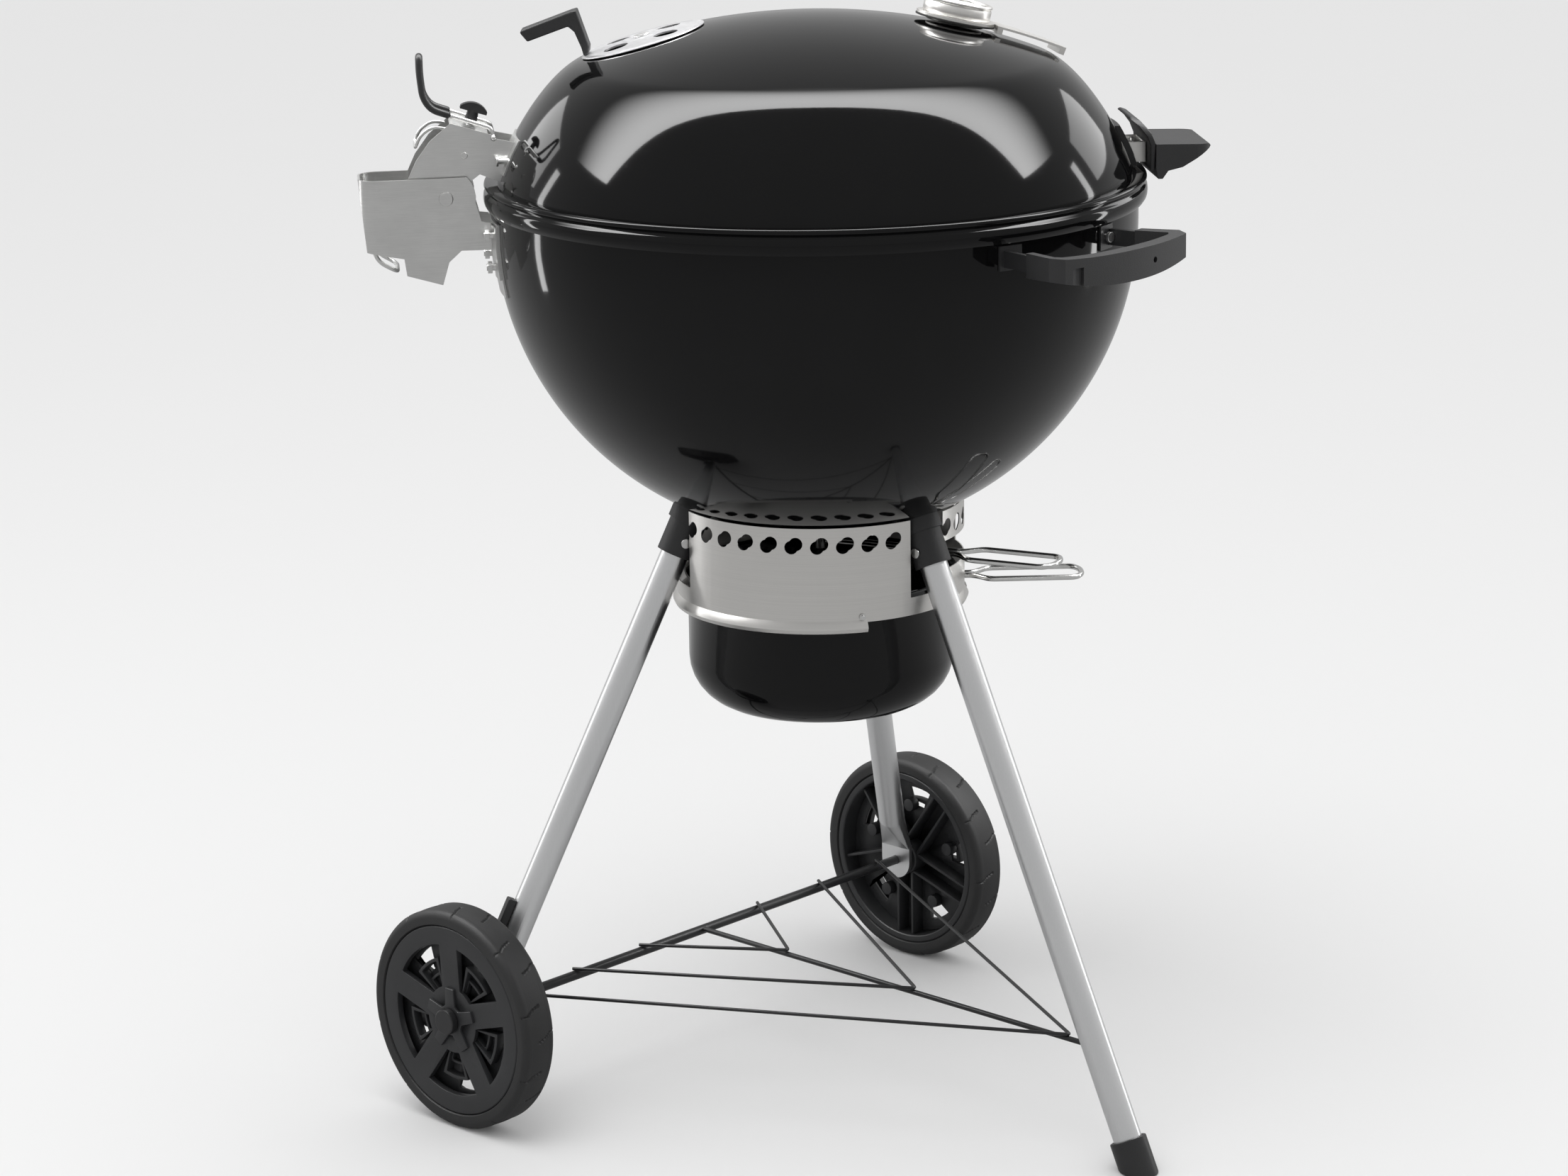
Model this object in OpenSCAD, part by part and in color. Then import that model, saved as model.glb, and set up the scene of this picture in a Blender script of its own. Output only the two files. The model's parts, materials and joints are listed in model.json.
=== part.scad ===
// Kettle charcoal grill on three splayed legs, with a hinged lid.
// Origin on the ground under the middle of the whole grill, +Z up, +X towards the front foot,
// the wheel axle along Y. The kettle's own axis stands at x = axis_x.

/* [Kettle] */
// Outer radius of the bowl
bowl_r = 285; // [250:1:342]
// Height of the bowl's rim above the ground
rim_z = 841; // [780:1:1010]
// Depth of the bowl's upright wall above its spherical part
wall_h = 34; // [26:1:42]
// Thickness of the enamelled steel
steel_t = 1.2; // [0.9:0.1:1.6]
// Height of the lid's crown above the bowl's rim
lid_h = 143.5; // [120:0.5:172]
// Radius of the lid's spherical crown
crown_r = 572; // [480:1:690]

/* [Hinge] */
// Azimuth of the lid hinge about the kettle's axis
hinge_az = 229; // [225:1:235]
// Distance of the hinge pin outside the bowl wall
pivot_out = 41; // [39:1:50]
// Radius of the hinge pin
pin_r = 4; // [3:0.1:5]
// Width of the hinge housing over its two side plates
housing_w = 56; // [46:1:68]
// Sheet thickness of the hinge
plate_t = 2; // [1.5:0.1:2.5]

/* [Lid fittings] */
// Distance of the damper's middle from the lid's axis
damper_reach = 150; // [125:1:160]
// Radius of the damper disc
damper_r = 56; // [46:1:66]
// Radius of each vent hole through lid and damper
vent_hole_r = 11; // [9:0.5:13]
// Radius of the thermometer's case
gauge_r = 30.5; // [25:0.5:34]

/* [Legs and wheels] */
// Angle of each leg from upright
splay = 24.7; // [20:0.1:28]
// Distance of a leg's axis from the kettle's axis where it meets the bowl
leg_top_r = 118; // [110:1:125]
// Outer radius of the leg tube
tube_r = 12.7; // [10.5:0.1:15.3]
// Wall of the leg tube
tube_t = 1; // [0.8:0.1:1.5]
// Radius of a wheel
wheel_r = 101.5; // [84:0.5:122]
// Width of a wheel's tyre
tyre_w = 36; // [30:1:43]
// Radius of the axle rod
axle_r = 4.5; // [3.7:0.1:5.4]

/* [Ash collar and pot] */
// Outer radius of the steel collar under the bowl
collar_r = 130; // [124:1:134]
// Height of the collar
collar_h = 86; // [80:1:100]
// Outer radius of the ash pot
pot_r = 120; // [110:1:122]
// Depth of the ash pot
pot_h = 123; // [100:1:148]
// Radius of the bent wire handles
wire_r = 2.5; // [2:0.1:3]

/* [Grates] */
// Depth of the cooking grate below the rim
grate_drop = 51; // [45:1:60]
// Distance of a flap's hinge line from the middle of the grate
flap_line = 112; // [97:15:127]
// Distance between two grate bars
bar_pitch = 15; // [12:0.5:18]

/* [Hidden] */

$fn = 96;
LEG_AZ = [0, 120, 240];
fit = 0.05;        // radial clearance of a pin or shaft in its hole
gap = 0.1;         // gap between faces that rest on each other
move_gap = 0.6;    // gap between faces that slide past each other
handle_az = hinge_az - 180;
lid_handle_w = 90;

// Kettle
bowl_cz = rim_z - wall_h;
bowl_bottom = bowl_cz - bowl_r;
inner_r = bowl_r - steel_t;
rim_turn = 6;
crown_top = rim_z + lid_h;
crown_cz = crown_top - crown_r;
crown_edge = damper_reach + damper_r;
crown_edge_z = crown_cz + sqrt(pow(crown_r, 2) - pow(crown_edge, 2));
lid_r = bowl_r - 5.2;
skirt_r = bowl_r + 8;
seat_z = rim_z + 0.4;
step_z = seat_z + steel_t;
shoulder_out = 0.5 * (lid_r - crown_edge);
shoulder_up = 18;

// Legs
leg_top_z = bowl_cz - sqrt(pow(bowl_r, 2) - pow(leg_top_r, 2));
axle_z = wheel_r;
socket_r = tube_r + 3.8;
socket_drop = 39;
tube_top_drop = 10;
axle_leg_r = leg_top_r + tan(splay) * (leg_top_z - axle_z);
axle_x = axle_leg_r * cos(120);
leg_y = axle_leg_r * sin(120);
blade_t = 4;
blade_r = tube_r + 5.3;
blade_top = axle_z + 50;
wheel_y = leg_y + blade_t / 2 + 5.5 + tyre_w / 2;
rim_wheel_r = wheel_r - 14;
hub_r = 17;
hub_half = tyre_w / 2 - 1;
foot_h = 27;
foot_r = socket_r;
foot_x = leg_top_r + tan(splay) * leg_top_z;
axis_x = -(foot_x + foot_r / cos(splay) - skirt_r) / 2;

// Rack
spine_r = 2.5;
rack_r = 1.6;
spine_z = axle_z + 2;
rack_z = max(axle_z + axle_r, spine_z + spine_r) + rack_r + gap;
rack_span = leg_y - 29;

// Ash collar, pot and vent
collar_top = bowl_cz - sqrt(pow(bowl_r, 2) - pow(collar_r, 2)) - 1.8;
collar_low = collar_top - collar_h;
collar_t = 1;
leg_gap_half = asin((socket_r + 5) / collar_r);
leg_gap_low = leg_top_z - (collar_r + (tube_r + 4) / cos(splay) - leg_top_r) / tan(splay);
hole_r = 7;
hole_count = 10;
hole_pitch = 10;
hole_start = 12.5;
hole_z = collar_top - 15.5;
lever_az = 18;
lever_z = bowl_bottom - 12;
lever_turn = 34;
pot_az = 45;
pot_top = collar_low + 19;
pot_low = pot_top - pot_h;
pot_corner = 45;
pot_t = 1.2;
shaft_r = 4;
loop_w = 20;
loop_out = 100;

// Grates
grate_z = rim_z - grate_drop;
grate_r = sqrt(pow(inner_r, 2) - pow(bowl_cz - grate_z, 2)) - 12;
ring_wire = 3;
bar_r = 2;
coal_z = bowl_cz - 0.585 * bowl_r;
coal_r = sqrt(pow(inner_r, 2) - pow(bowl_cz - coal_z, 2)) - 7.5;

// Hinge, in the upright plane through the hinge's azimuth
pivot_s = bowl_r + pivot_out;
pivot_z = rim_z - 6;
plate_y = housing_w / 2 - plate_t;
bracket_y = plate_y - 2.5 - plate_t;
web_slope = 17;
knob_s = pivot_s - 23;
knob_z = pivot_z + 60.5;
lever_pivot = [pivot_s - 43, pivot_z + 51];
lever_y = 15;
lever_wire = 2;

function arc(c, r, a0, a1, n) = [for (i = [0:n]) let (a = a0 + (a1 - a0) * i / n)
    [c[0] + r * cos(a), c[1] + r * sin(a)]];
function bezier(p, n) = [for (i = [0:n]) let (u = i / n, v = 1 - u)
    v * v * v * p[0] + 3 * v * v * u * p[1] + 3 * v * u * u * p[2] + u * u * u * p[3]];
function back(p) = [for (i = [len(p) - 1:-1:0]) p[i]];
function unit(v) = v / norm(v);
function mirrored(p) = [for (q = back(p)) [q[0], -q[1], q[2]]];
// Rounds the inner corners of a path, reaching back a distance r along each side
function rounded(p, r, n = 4) = [for (i = [0:len(p) - 1]) each (i == 0 || i == len(p) - 1) ? [p[i]] :
    let (a = p[i] + unit(p[i - 1] - p[i]) * r, b = p[i] + unit(p[i + 1] - p[i]) * r)
    [for (k = [0:n]) let (u = k / n, v = 1 - u) v * v * a + 2 * v * u * p[i] + u * u * b]];
// Outer line of the lid from its axis to the top of its skirt, moved out by d
function lid_line(d) = let (edge_a = asin(crown_edge / crown_r), r = crown_r + d,
    p0 = [r * sin(edge_a), crown_cz + r * cos(edge_a)], p3 = [lid_r + d, step_z])
    concat([for (i = [0:10]) let (a = edge_a * i / 10) [r * sin(a), crown_cz + r * cos(a)]],
        [for (i = [1:12]) bezier([p0, p0 + shoulder_out * [cos(edge_a), -sin(edge_a)],
            p3 + [0, shoulder_up], p3], 12)[i]]);

// Outer radius of the lid's shoulder at a height
function lid_at(z) = lookup(z, [for (p = lid_line(0)) [p[1], p[0]]]);
// Local x of the lid's outside at a height and a sideways place
function lid_wall(z, y) = sqrt(pow(lid_at(z), 2) - pow(y, 2));

module on_axis() translate([axis_x, 0, 0]) children();
module at_az(a) on_axis() rotate([0, 0, a]) children();
// Local x runs outwards and z up the normal of the crown, with z = 0 on its surface
module on_crown(reach, az) at_az(az) translate([0, 0, crown_cz])
    rotate([0, asin(reach / crown_r), 0]) translate([0, 0, crown_r]) children();
// Local z runs down the leg from where its axis meets the bowl
module along_leg(az) at_az(az) translate([leg_top_r, 0, leg_top_z]) rotate([0, 180 - splay, 0]) children();
module rod(p, q, r) {
    d = q - p;
    translate(p) rotate([0, acos(d[2] / norm(d)), atan2(d[1], d[0])]) cylinder(h = norm(d), r = r);
}
// Plate of thickness t in an upright plane, from y to y + t
module upright(pts, y, t) translate([0, y + t, 0]) rotate([90, 0, 0]) linear_extrude(t) polygon(pts);
module along_x(s, y, z, r, h) translate([s, y, z]) rotate([0, 90, 0]) cylinder(h = h, r = r);
module along_y(x, y, z, r, h) translate([x, y, z]) rotate([-90, 0, 0]) cylinder(h = h, r = r);
module sector(r0, r1, z0, z1, half) rotate([0, 0, -half]) rotate_extrude(angle = 2 * half)
    translate([r0, z0]) square([r1 - r0, z1 - z0]);
// Patch of sheet on the outside of the bowl between two heights, half its angle either side of x
module bowl_patch(d0, d1, z0, z1, half) intersection() {
    rotate([0, 0, -half]) rotate_extrude(angle = 2 * half) polygon(concat(
        arc([0, bowl_cz], bowl_r + d0, -70, 0, 24), [[bowl_r + d0, rim_z], [bowl_r + d1, rim_z]],
        arc([0, bowl_cz], bowl_r + d1, 0, -70, 24)));
    translate([0, -bowl_r, z0]) cube([2 * bowl_r, 2 * bowl_r, z1 - z0]);
}
module lid_patch(d0, d1, z0, z1, half) intersection() {
    rotate([0, 0, -half]) rotate_extrude(angle = 2 * half)
        polygon(concat(lid_line(d1), back(lid_line(d0))));
    translate([lid_r / 2, -bowl_r, z0]) cube([2 * bowl_r, 2 * bowl_r, z1 - z0]);
}
// Round wire of radius r swept along a path
module wire(path, r, sides = 8) {
    n = len(path);
    t = [for (i = [0:n - 1]) unit(path[min(i + 1, n - 1)] - path[max(i - 1, 0)])];
    seed = abs(t[0][2]) < 0.9 ? [0, 0, 1] : [1, 0, 0];
    u = [for (i = 0, v = unit(seed - (seed * t[0]) * t[0]); i < n; i = i + 1,
        v = i < n ? unit(v - (v * t[i]) * t[i]) : v) v];
    pts = [for (i = [0:n - 1]) let (w = cross(t[i], u[i])) for (k = [0:sides - 1])
        path[i] + r * (cos(360 * k / sides) * u[i] + sin(360 * k / sides) * w)];
    faces = concat([[for (k = [0:sides - 1]) k]], [[for (k = [sides - 1:-1:0]) (n - 1) * sides + k]],
        [for (i = [0:n - 2]) for (k = [0:sides - 1]) let (m = (k + 1) % sides)
            each [[i * sides + k, (i + 1) * sides + k, (i + 1) * sides + m],
                [i * sides + k, (i + 1) * sides + m, i * sides + m]]]);
    polyhedron(points = pts, faces = faces);
}

// ---- Kettle bowl and what it holds ----
handle_s = bowl_r + 75;
handle_half = 84;
handle_z = rim_z - 38;
screw_y = 62;
hinge_bolt_y = 36;
hinge_bolt_z = [rim_z - 38, rim_z - 66];

module handle_screw_places() for (y = [-screw_y, screw_y]) translate([0, y, handle_z + 6]) children();
module hinge_bolt_places() for (y = [-hinge_bolt_y, hinge_bolt_y], z = hinge_bolt_z)
    translate([0, y, z]) children();

module bowl() color("black") difference() {
    on_axis() rotate_extrude($fn = 180) polygon(concat(arc([0, bowl_cz], bowl_r, -90, 0, 32),
        [[bowl_r, rim_z - 1], [bowl_r - 1, rim_z], [bowl_r - rim_turn, rim_z],
            [bowl_r - rim_turn, rim_z - steel_t], [inner_r, rim_z - steel_t]],
        arc([0, bowl_cz], inner_r, 0, -90, 32)));
    on_axis() translate([0, 0, bowl_bottom - 5]) cylinder(h = 20, r = shaft_r + fit);
    for (k = [0:2]) at_az(60 + 120 * k) sector(45, 95, bowl_bottom - 5, bowl_bottom + 40, 15);
    at_az(0) handle_screw_places() along_x(bowl_r - 30, 0, 0, 2.5 + fit, 40);
    at_az(hinge_az) hinge_bolt_places() along_x(bowl_r - 40, 0, 0, 3 + fit, 50);
}

module grate_tabs() color("dimgray") for (k = [0:3]) at_az(hinge_az + 45 + 90 * k) {
    sector(grate_r - 6, grate_r + 11, grate_z - ring_wire - 2 - gap, grate_z - ring_wire - gap, 2);
    sector(coal_r - 8, coal_r + 3, coal_z - ring_wire - 2 - gap, coal_z - ring_wire - gap, 3);
}

bar_count = floor((flap_line - 5) / bar_pitch);
module grate_ring(r) rotate_extrude() translate([r, 0]) circle(r = ring_wire, $fn = 32);
module grate_bar(r, y, w) let (half = sqrt(pow(r, 2) - pow(y, 2)))
    translate([-half, y, ring_wire + w * 0.8]) rotate([0, 90, 0]) cylinder(h = 2 * half, r = w, $fn = 12);

module cooking_grate() color("silver") at_az(hinge_az) translate([0, 0, grate_z]) {
    intersection() {
        grate_ring(grate_r);
        translate([-bowl_r, -flap_line + 4, -9]) cube([2 * bowl_r, 2 * flap_line - 8, 18]);
    }
    for (k = [-bar_count:bar_count]) grate_bar(grate_r, k * bar_pitch, bar_r);
    for (x = [-130, 130]) translate([x, -flap_line + 5, 0.6]) rotate([-90, 0, 0])
        cylinder(h = 2 * flap_line - 10, r = ring_wire, $fn = 12);
}

flap_first = flap_line + 6;
module grate_flap(side) color("silver") at_az(hinge_az) translate([0, 0, grate_z])
    mirror([0, side < 0 ? 1 : 0, 0]) {
        intersection() {
            grate_ring(grate_r);
            translate([-bowl_r, flap_line + 4, -9]) cube([2 * bowl_r, bowl_r, 18]);
        }
        for (y = [flap_first:bar_pitch:grate_r - 12]) grate_bar(grate_r, y, bar_r);
        for (x = [-75, 75]) translate([x, flap_first, 0.6]) rotate([-90, 0, 0])
            cylinder(h = sqrt(pow(grate_r, 2) - 75 * 75) - flap_first, r = ring_wire, $fn = 12);
    }
module grate_flap_left() grate_flap(1);
module grate_flap_right() grate_flap(-1);

module charcoal_grate() color("dimgray") at_az(hinge_az + 90) translate([0, 0, coal_z]) {
    grate_ring(coal_r);
    for (k = [-6:6]) grate_bar(coal_r, k * coal_r / 7, 3);
    for (x = [-0.45, 0.45] * coal_r) translate([x, -sqrt(0.7975) * coal_r, 0]) rotate([-90, 0, 0])
        cylinder(h = 2 * sqrt(0.7975) * coal_r, r = ring_wire, $fn = 12);
}

// ---- One-lever vent under the bowl ----
blade_turn = 40;
module vent_blades() color("silver") difference() {
    union() {
        for (k = [0:2]) at_az(blade_turn + 120 * k) rotate([0, 0, -17]) rotate_extrude(angle = 34)
            polygon(concat(arc([0, bowl_cz], inner_r - move_gap, -88, -67, 8),
                arc([0, bowl_cz], inner_r - move_gap - 1.5, -67, -88, 8)));
        on_axis() translate([0, 0, bowl_bottom + steel_t + move_gap + 0.4]) cylinder(h = 7, r = 16);
    }
    on_axis() translate([0, 0, bowl_bottom - 5]) cylinder(h = 30, r = shaft_r + fit);
}

module vent_shaft() color("silver") on_axis() {
    translate([0, 0, lever_z - 8]) cylinder(h = bowl_bottom + 16 - lever_z, r = shaft_r);
    translate([0, 0, lever_z + 4]) cylinder(h = 4, r = 8);
    translate([0, 0, bowl_bottom + steel_t + move_gap + 7.4 + gap]) cylinder(h = 4, r = 7, $fn = 6);
}

function loop_half(r0, r1, out, y0) = [[r0, y0, 0], [r1 + 8, y0, 0], [r1 + 22, loop_w, 0],
    [r1 + out - 6, loop_w, 0], [r1 + out, loop_w - 12, 0], [r1 + out, 0, 0]];
function loop_path(r0, r1, out, y0) = let (h = loop_half(r0, r1, out, y0))
    rounded(concat([for (i = [0:len(h) - 2]) h[i]], [for (i = [len(h) - 2:-1:0]) [h[i][0], -h[i][1], 0]]), 5);

module vent_lever() color("silver") at_az(lever_az) translate([0, 0, lever_z]) difference() {
    union() {
        wire(loop_path(8, collar_r, loop_out, 5), wire_r);
        translate([0, 0, -3.2]) cylinder(h = 6.4, r = 14);
    }
    translate([0, 0, -5]) cylinder(h = 10, r = shaft_r + fit);
}

// ---- Collar and ash pot ----
lip_start = 15;
lip_turn = 316;
module ash_collar() color("lightgray") difference() {
    on_axis() union() {
        rotate_extrude($fn = 144) translate([collar_r - collar_t, collar_low]) square([collar_t, collar_h]);
        rotate([0, 0, lip_start]) rotate_extrude(angle = lip_turn) polygon([for (p = [[-0.5, 3], [0.6, 1.2],
            [2.6, -2], [3.6, -5], [2, -8.5], [-0.5, -9.5], [-0.5, -8.3], [1.3, -7.6], [2.4, -5],
            [1.6, -2.6], [-0.5, -0.4]]) [collar_r + p[0], collar_low + p[1]]]);
    }
    for (a = LEG_AZ) at_az(a) sector(collar_r - 9, collar_r + 9, leg_gap_low, collar_top + 9, leg_gap_half);
    for (a = LEG_AZ, k = [0:hole_count - 1], o = [-1, 1]) at_az(a + hole_start + hole_pitch * k)
        along_x(collar_r - 9, 2 * o, hole_z + 1.5 * o, hole_r - 1, 18);
    at_az(lever_az + lever_turn / 2) sector(collar_r - 9, collar_r + 9, lever_z - 12, lever_z + 14,
        lever_turn / 2 + 9);
    at_az(pot_az) translate([collar_r - 12, -10, collar_low - 15]) cube([24, 20, 34]);
}

module collar_rivet() color("silver") at_az(329) {
    along_x(collar_r + gap, 0, collar_low + 5, 3, 1.5);
    along_x(collar_r + gap + 1.5, 0, collar_low + 5, 2, 0.8);
}

module ash_pot() color("black") on_axis() rotate_extrude($fn = 180) polygon(concat(
    [[0, pot_low]], arc([pot_r - pot_corner, pot_low + pot_corner], pot_corner, -90, 0, 8),
    [[pot_r, pot_top - 4], [pot_r + 3, pot_top - 1], [pot_r + 3, pot_top], [pot_r + 1.6, pot_top],
        [pot_r - pot_t, pot_top - 3.4]],
    arc([pot_r - pot_corner, pot_low + pot_corner], pot_corner - pot_t, 0, -90, 8),
    [[0, pot_low + pot_t]]));

module ash_pot_handle() color("silver") at_az(pot_az) translate([0, 0, pot_top - 10])
    wire(loop_path(pot_r + gap, collar_r, loop_out + 6, 4.5), wire_r);

// ---- Legs ----
function leg_len(z) = (leg_top_z - z) / cos(splay);
rivet_down = 29;
module leg_sockets() color("black") for (a = LEG_AZ) difference() {
    along_leg(a) {
        translate([0, 0, -12]) cylinder(h = socket_drop / cos(splay) + 12, r = socket_r);
        translate([0, 0, -12]) cylinder(h = 24, r = socket_r + 2.2);
    }
    along_leg(a) translate([0, 0, tube_top_drop]) cylinder(h = 90, r = tube_r + fit);
    along_leg(a) along_y(0, -40, rivet_down, 2.5 + fit, 80);
    on_axis() translate([0, 0, bowl_cz]) sphere(r = bowl_r + gap, $fn = 180);
    on_axis() cylinder(h = leg_top_z + 60, r = collar_r - collar_t - 22);
}

module socket_rivets() color("silver") for (a = LEG_AZ) along_leg(a) {
    along_y(0, -socket_r - 1, rivet_down, 2.5, 2 * socket_r + 2);
    for (s = [0, 1]) mirror([0, s, 0]) along_y(0, socket_r + gap, rivet_down, 4.5, 1.8);
}

module leg_tube(a, low) difference() {
    along_leg(a) translate([0, 0, tube_top_drop + gap]) cylinder(h = leg_len(low) - tube_top_drop - gap, r = tube_r);
    along_leg(a) cylinder(h = leg_len(low) + 5, r = tube_r - tube_t);
    along_leg(a) along_y(0, -40, rivet_down, 2.5 + fit, 80);
}

module leg_front() color("silver") difference() {
    leg_tube(0, 8);
    on_axis() along_x(0, 0, spine_z, spine_r + fit, leg_top_r + tan(splay) * (leg_top_z - spine_z));
}

// Wheel leg whose foot is pressed flat around the axle
blade = [for (p = concat(arc([0, 0], blade_r, 180, 360, 24), [[blade_r, 18], [-blade_r, 18]]))
    [axle_x + p[0], axle_z + p[1]]];
module wheel_leg(side) difference() {
    union() {
        leg_tube(120 * side, blade_top);
        hull() {
            along_leg(120 * side) translate([0, 0, leg_len(blade_top) - 2])
                cylinder(h = 3, r = tube_r - tube_t / 2, $fn = 32);
            on_axis() translate([axle_x - blade_r + 0.5, side * leg_y - blade_t / 2 - 0.25, axle_z + 14])
                cube([2 * blade_r - 1, blade_t + 0.5, 2]);
        }
        on_axis() upright(blade, side * leg_y - blade_t / 2, blade_t);
    }
    on_axis() along_y(axle_x, side * leg_y - 20, axle_z, axle_r + fit, 40);
}
module leg_left() color("silver") wheel_leg(1);
module leg_right() color("silver") wheel_leg(-1);

module foot_cap() color("black") intersection() {
    difference() {
        along_leg(0) translate([0, 0, leg_len(foot_h)]) cylinder(h = leg_len(0) - leg_len(foot_h) + 20, r = foot_r);
        along_leg(0) cylinder(h = leg_len(8) + gap, r = tube_r + fit);
    }
    translate([axis_x, -60, 0]) cube([700, 120, 90]);
}

clip_z = axle_z + 76;
module leg_clips() color("black") for (side = [-1, 1]) difference() {
    along_leg(120 * side) translate([-tube_r - 7, -5, leg_len(clip_z) - 20]) cube([18, 10, 40]);
    along_leg(120 * side) cylinder(h = leg_len(0), r = tube_r + gap);
}

// ---- Axle, wheels and rack ----
cap_r = 12;
axle_end = wheel_y + hub_half + 5;
module axle() color("black") on_axis() along_y(axle_x, -axle_end, axle_z, axle_r, 2 * axle_end);
module axle_caps() color("black") for (side = [-1, 1]) on_axis() difference() {
    along_y(axle_x, side > 0 ? wheel_y + hub_half + 0.5 : -wheel_y - hub_half - 7.5, axle_z, cap_r, 7);
    along_y(axle_x, -axle_end - gap, axle_z, axle_r + fit, 2 * axle_end + 2 * gap);
}

module spun_wheel(side) on_axis() translate([axle_x, side * wheel_y, axle_z]) rotate([-90 * side, 0, 0]) children();
module wheel(side) color("#202020") spun_wheel(side) difference() {
    union() {
        difference() {
            cylinder(h = 2 * hub_half, r = rim_wheel_r, center = true);
            cylinder(h = 2 * hub_half + 2, r = rim_wheel_r - 7, center = true);
        }
        translate([0, 0, 2]) cylinder(h = 8, r = rim_wheel_r - 4);
        cylinder(h = 2 * hub_half, r = hub_r, center = true);
        for (k = [0:4]) rotate([0, 0, 72 * k + 18]) translate([0, -9, -6]) cube([rim_wheel_r - 4, 18, 20]);
    }
    for (k = [0:4]) rotate([0, 0, 72 * k + 54]) sector(hub_r + 14, rim_wheel_r - 20, 0, 12, 15);
    cylinder(h = 4 * hub_half, r = axle_r + fit, center = true);
}
module wheel_left() wheel(1);
module wheel_right() wheel(-1);

module tyre(side) color("#181818") spun_wheel(side) rotate_extrude($fn = 180) polygon(concat(
    [[rim_wheel_r + fit, -tyre_w / 2 + 1.5], [rim_wheel_r + fit + 1.5, -tyre_w / 2]],
    arc([wheel_r - 5, -tyre_w / 2 + 5], 5, -90, -15, 5), [[wheel_r, 0]],
    arc([wheel_r - 5, tyre_w / 2 - 5], 5, 15, 90, 5),
    [[rim_wheel_r + fit + 1.5, tyre_w / 2], [rim_wheel_r + fit, tyre_w / 2 - 1.5]]));
module tyre_left() tyre(1);
module tyre_right() tyre(-1);

spine_end = leg_top_r + tan(splay) * (leg_top_z - spine_z) - tube_r + 1;
module rack_spine() color("black") on_axis()
    along_x(axle_x + axle_r + gap, 0, spine_z, spine_r, spine_end - axle_x - axle_r - gap);

// Three nested V wires lie on the axle and the spine: reach of the tip and half-spread on the axle
rack_vees = [[spine_end - 14, rack_span], [0.61 * spine_end + 0.39 * axle_x, 0.665 * rack_span],
    [0.275 * spine_end + 0.725 * axle_x, 0.32 * rack_span]];
module rack_wires() color("black") on_axis() translate([0, 0, rack_z]) for (v = rack_vees)
    wire(rounded([[axle_x - 4, -v[1], 0], [v[0], 0, 0], [axle_x - 4, v[1], 0]], 6), rack_r);

// ---- Bowl handle ----
module bowl_handle_grip() color("#202020") at_az(0) intersection() {
    translate([0, 0, handle_z - 20]) linear_extrude(50) polygon(concat(
        [for (i = [-6:6]) let (y = i / 6 * handle_half) [handle_s - 9 * pow(i / 6, 2), y]],
        [[handle_s - 20, handle_half + 2], [bowl_r + 22, 76], [bowl_r + 22, 67], [handle_s - 23, 75]],
        [for (i = [6:-1:-6]) let (y = i / 6 * 70) [handle_s - 14 - 5 * pow(i / 6, 2), y]],
        [[handle_s - 23, -75], [bowl_r + 22, -67], [bowl_r + 22, -76], [handle_s - 20, -handle_half - 2]]));
    rotate([90, 0, 90]) linear_extrude(2 * bowl_r) polygon(concat(
        [[-handle_half - 9, handle_z + 16], [-handle_half - 9, handle_z - 2]],
        [for (i = [-6:6]) [i / 6 * (handle_half + 3), handle_z - 14 + 10 * pow(i / 6, 2)]],
        [[handle_half + 9, handle_z - 2], [handle_half + 9, handle_z + 16],
            [60, handle_z + 13], [-60, handle_z + 13]]));
}

module bowl_handle_brackets() color("#101010") at_az(0) difference() {
    for (s = [0, 1]) mirror([0, s, 0]) {
        intersection() {
            bowl_patch(gap, gap + 2, handle_z - 5, handle_z + 16, 17);
            translate([0, screw_y - 10, 0]) cube([2 * bowl_r, 22, 2 * rim_z]);
        }
        translate([0, 0, handle_z - 2]) linear_extrude(14) polygon([[bowl_r - 8, screw_y + 4],
            [bowl_r - 10, screw_y + 8], [bowl_r + 21.8, 75], [bowl_r + 21.8, 70]]);
    }
    bowl_patch(-30, gap, handle_z - 9, rim_z - 5, 25);
    handle_screw_places() along_x(bowl_r - 30, 0, 0, 2.5 + fit, 40);
}

screw_s = sqrt(pow(bowl_r, 2) - pow(screw_y, 2));
module bowl_handle_screws() color("#202020") at_az(0) handle_screw_places() {
    along_x(screw_s - 12, 0, 0, 2.5, 18);
    along_x(screw_s + 4.6, 0, 0, 4.5, 3);
    along_x(screw_s - 11, 0, 0, 5, 4.5);
}

// ---- Hinge on the bowl ----
bolt_half = asin((hinge_bolt_y + 12) / bowl_r);
module hinge_plate() color("#c8c8c8") at_az(hinge_az) difference() {
    bowl_patch(gap, gap + 2, rim_z - 92, rim_z - 27, bolt_half);
    hinge_bolt_places() along_x(bowl_r - 40, 0, 0, 3 + fit, 60);
}

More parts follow.
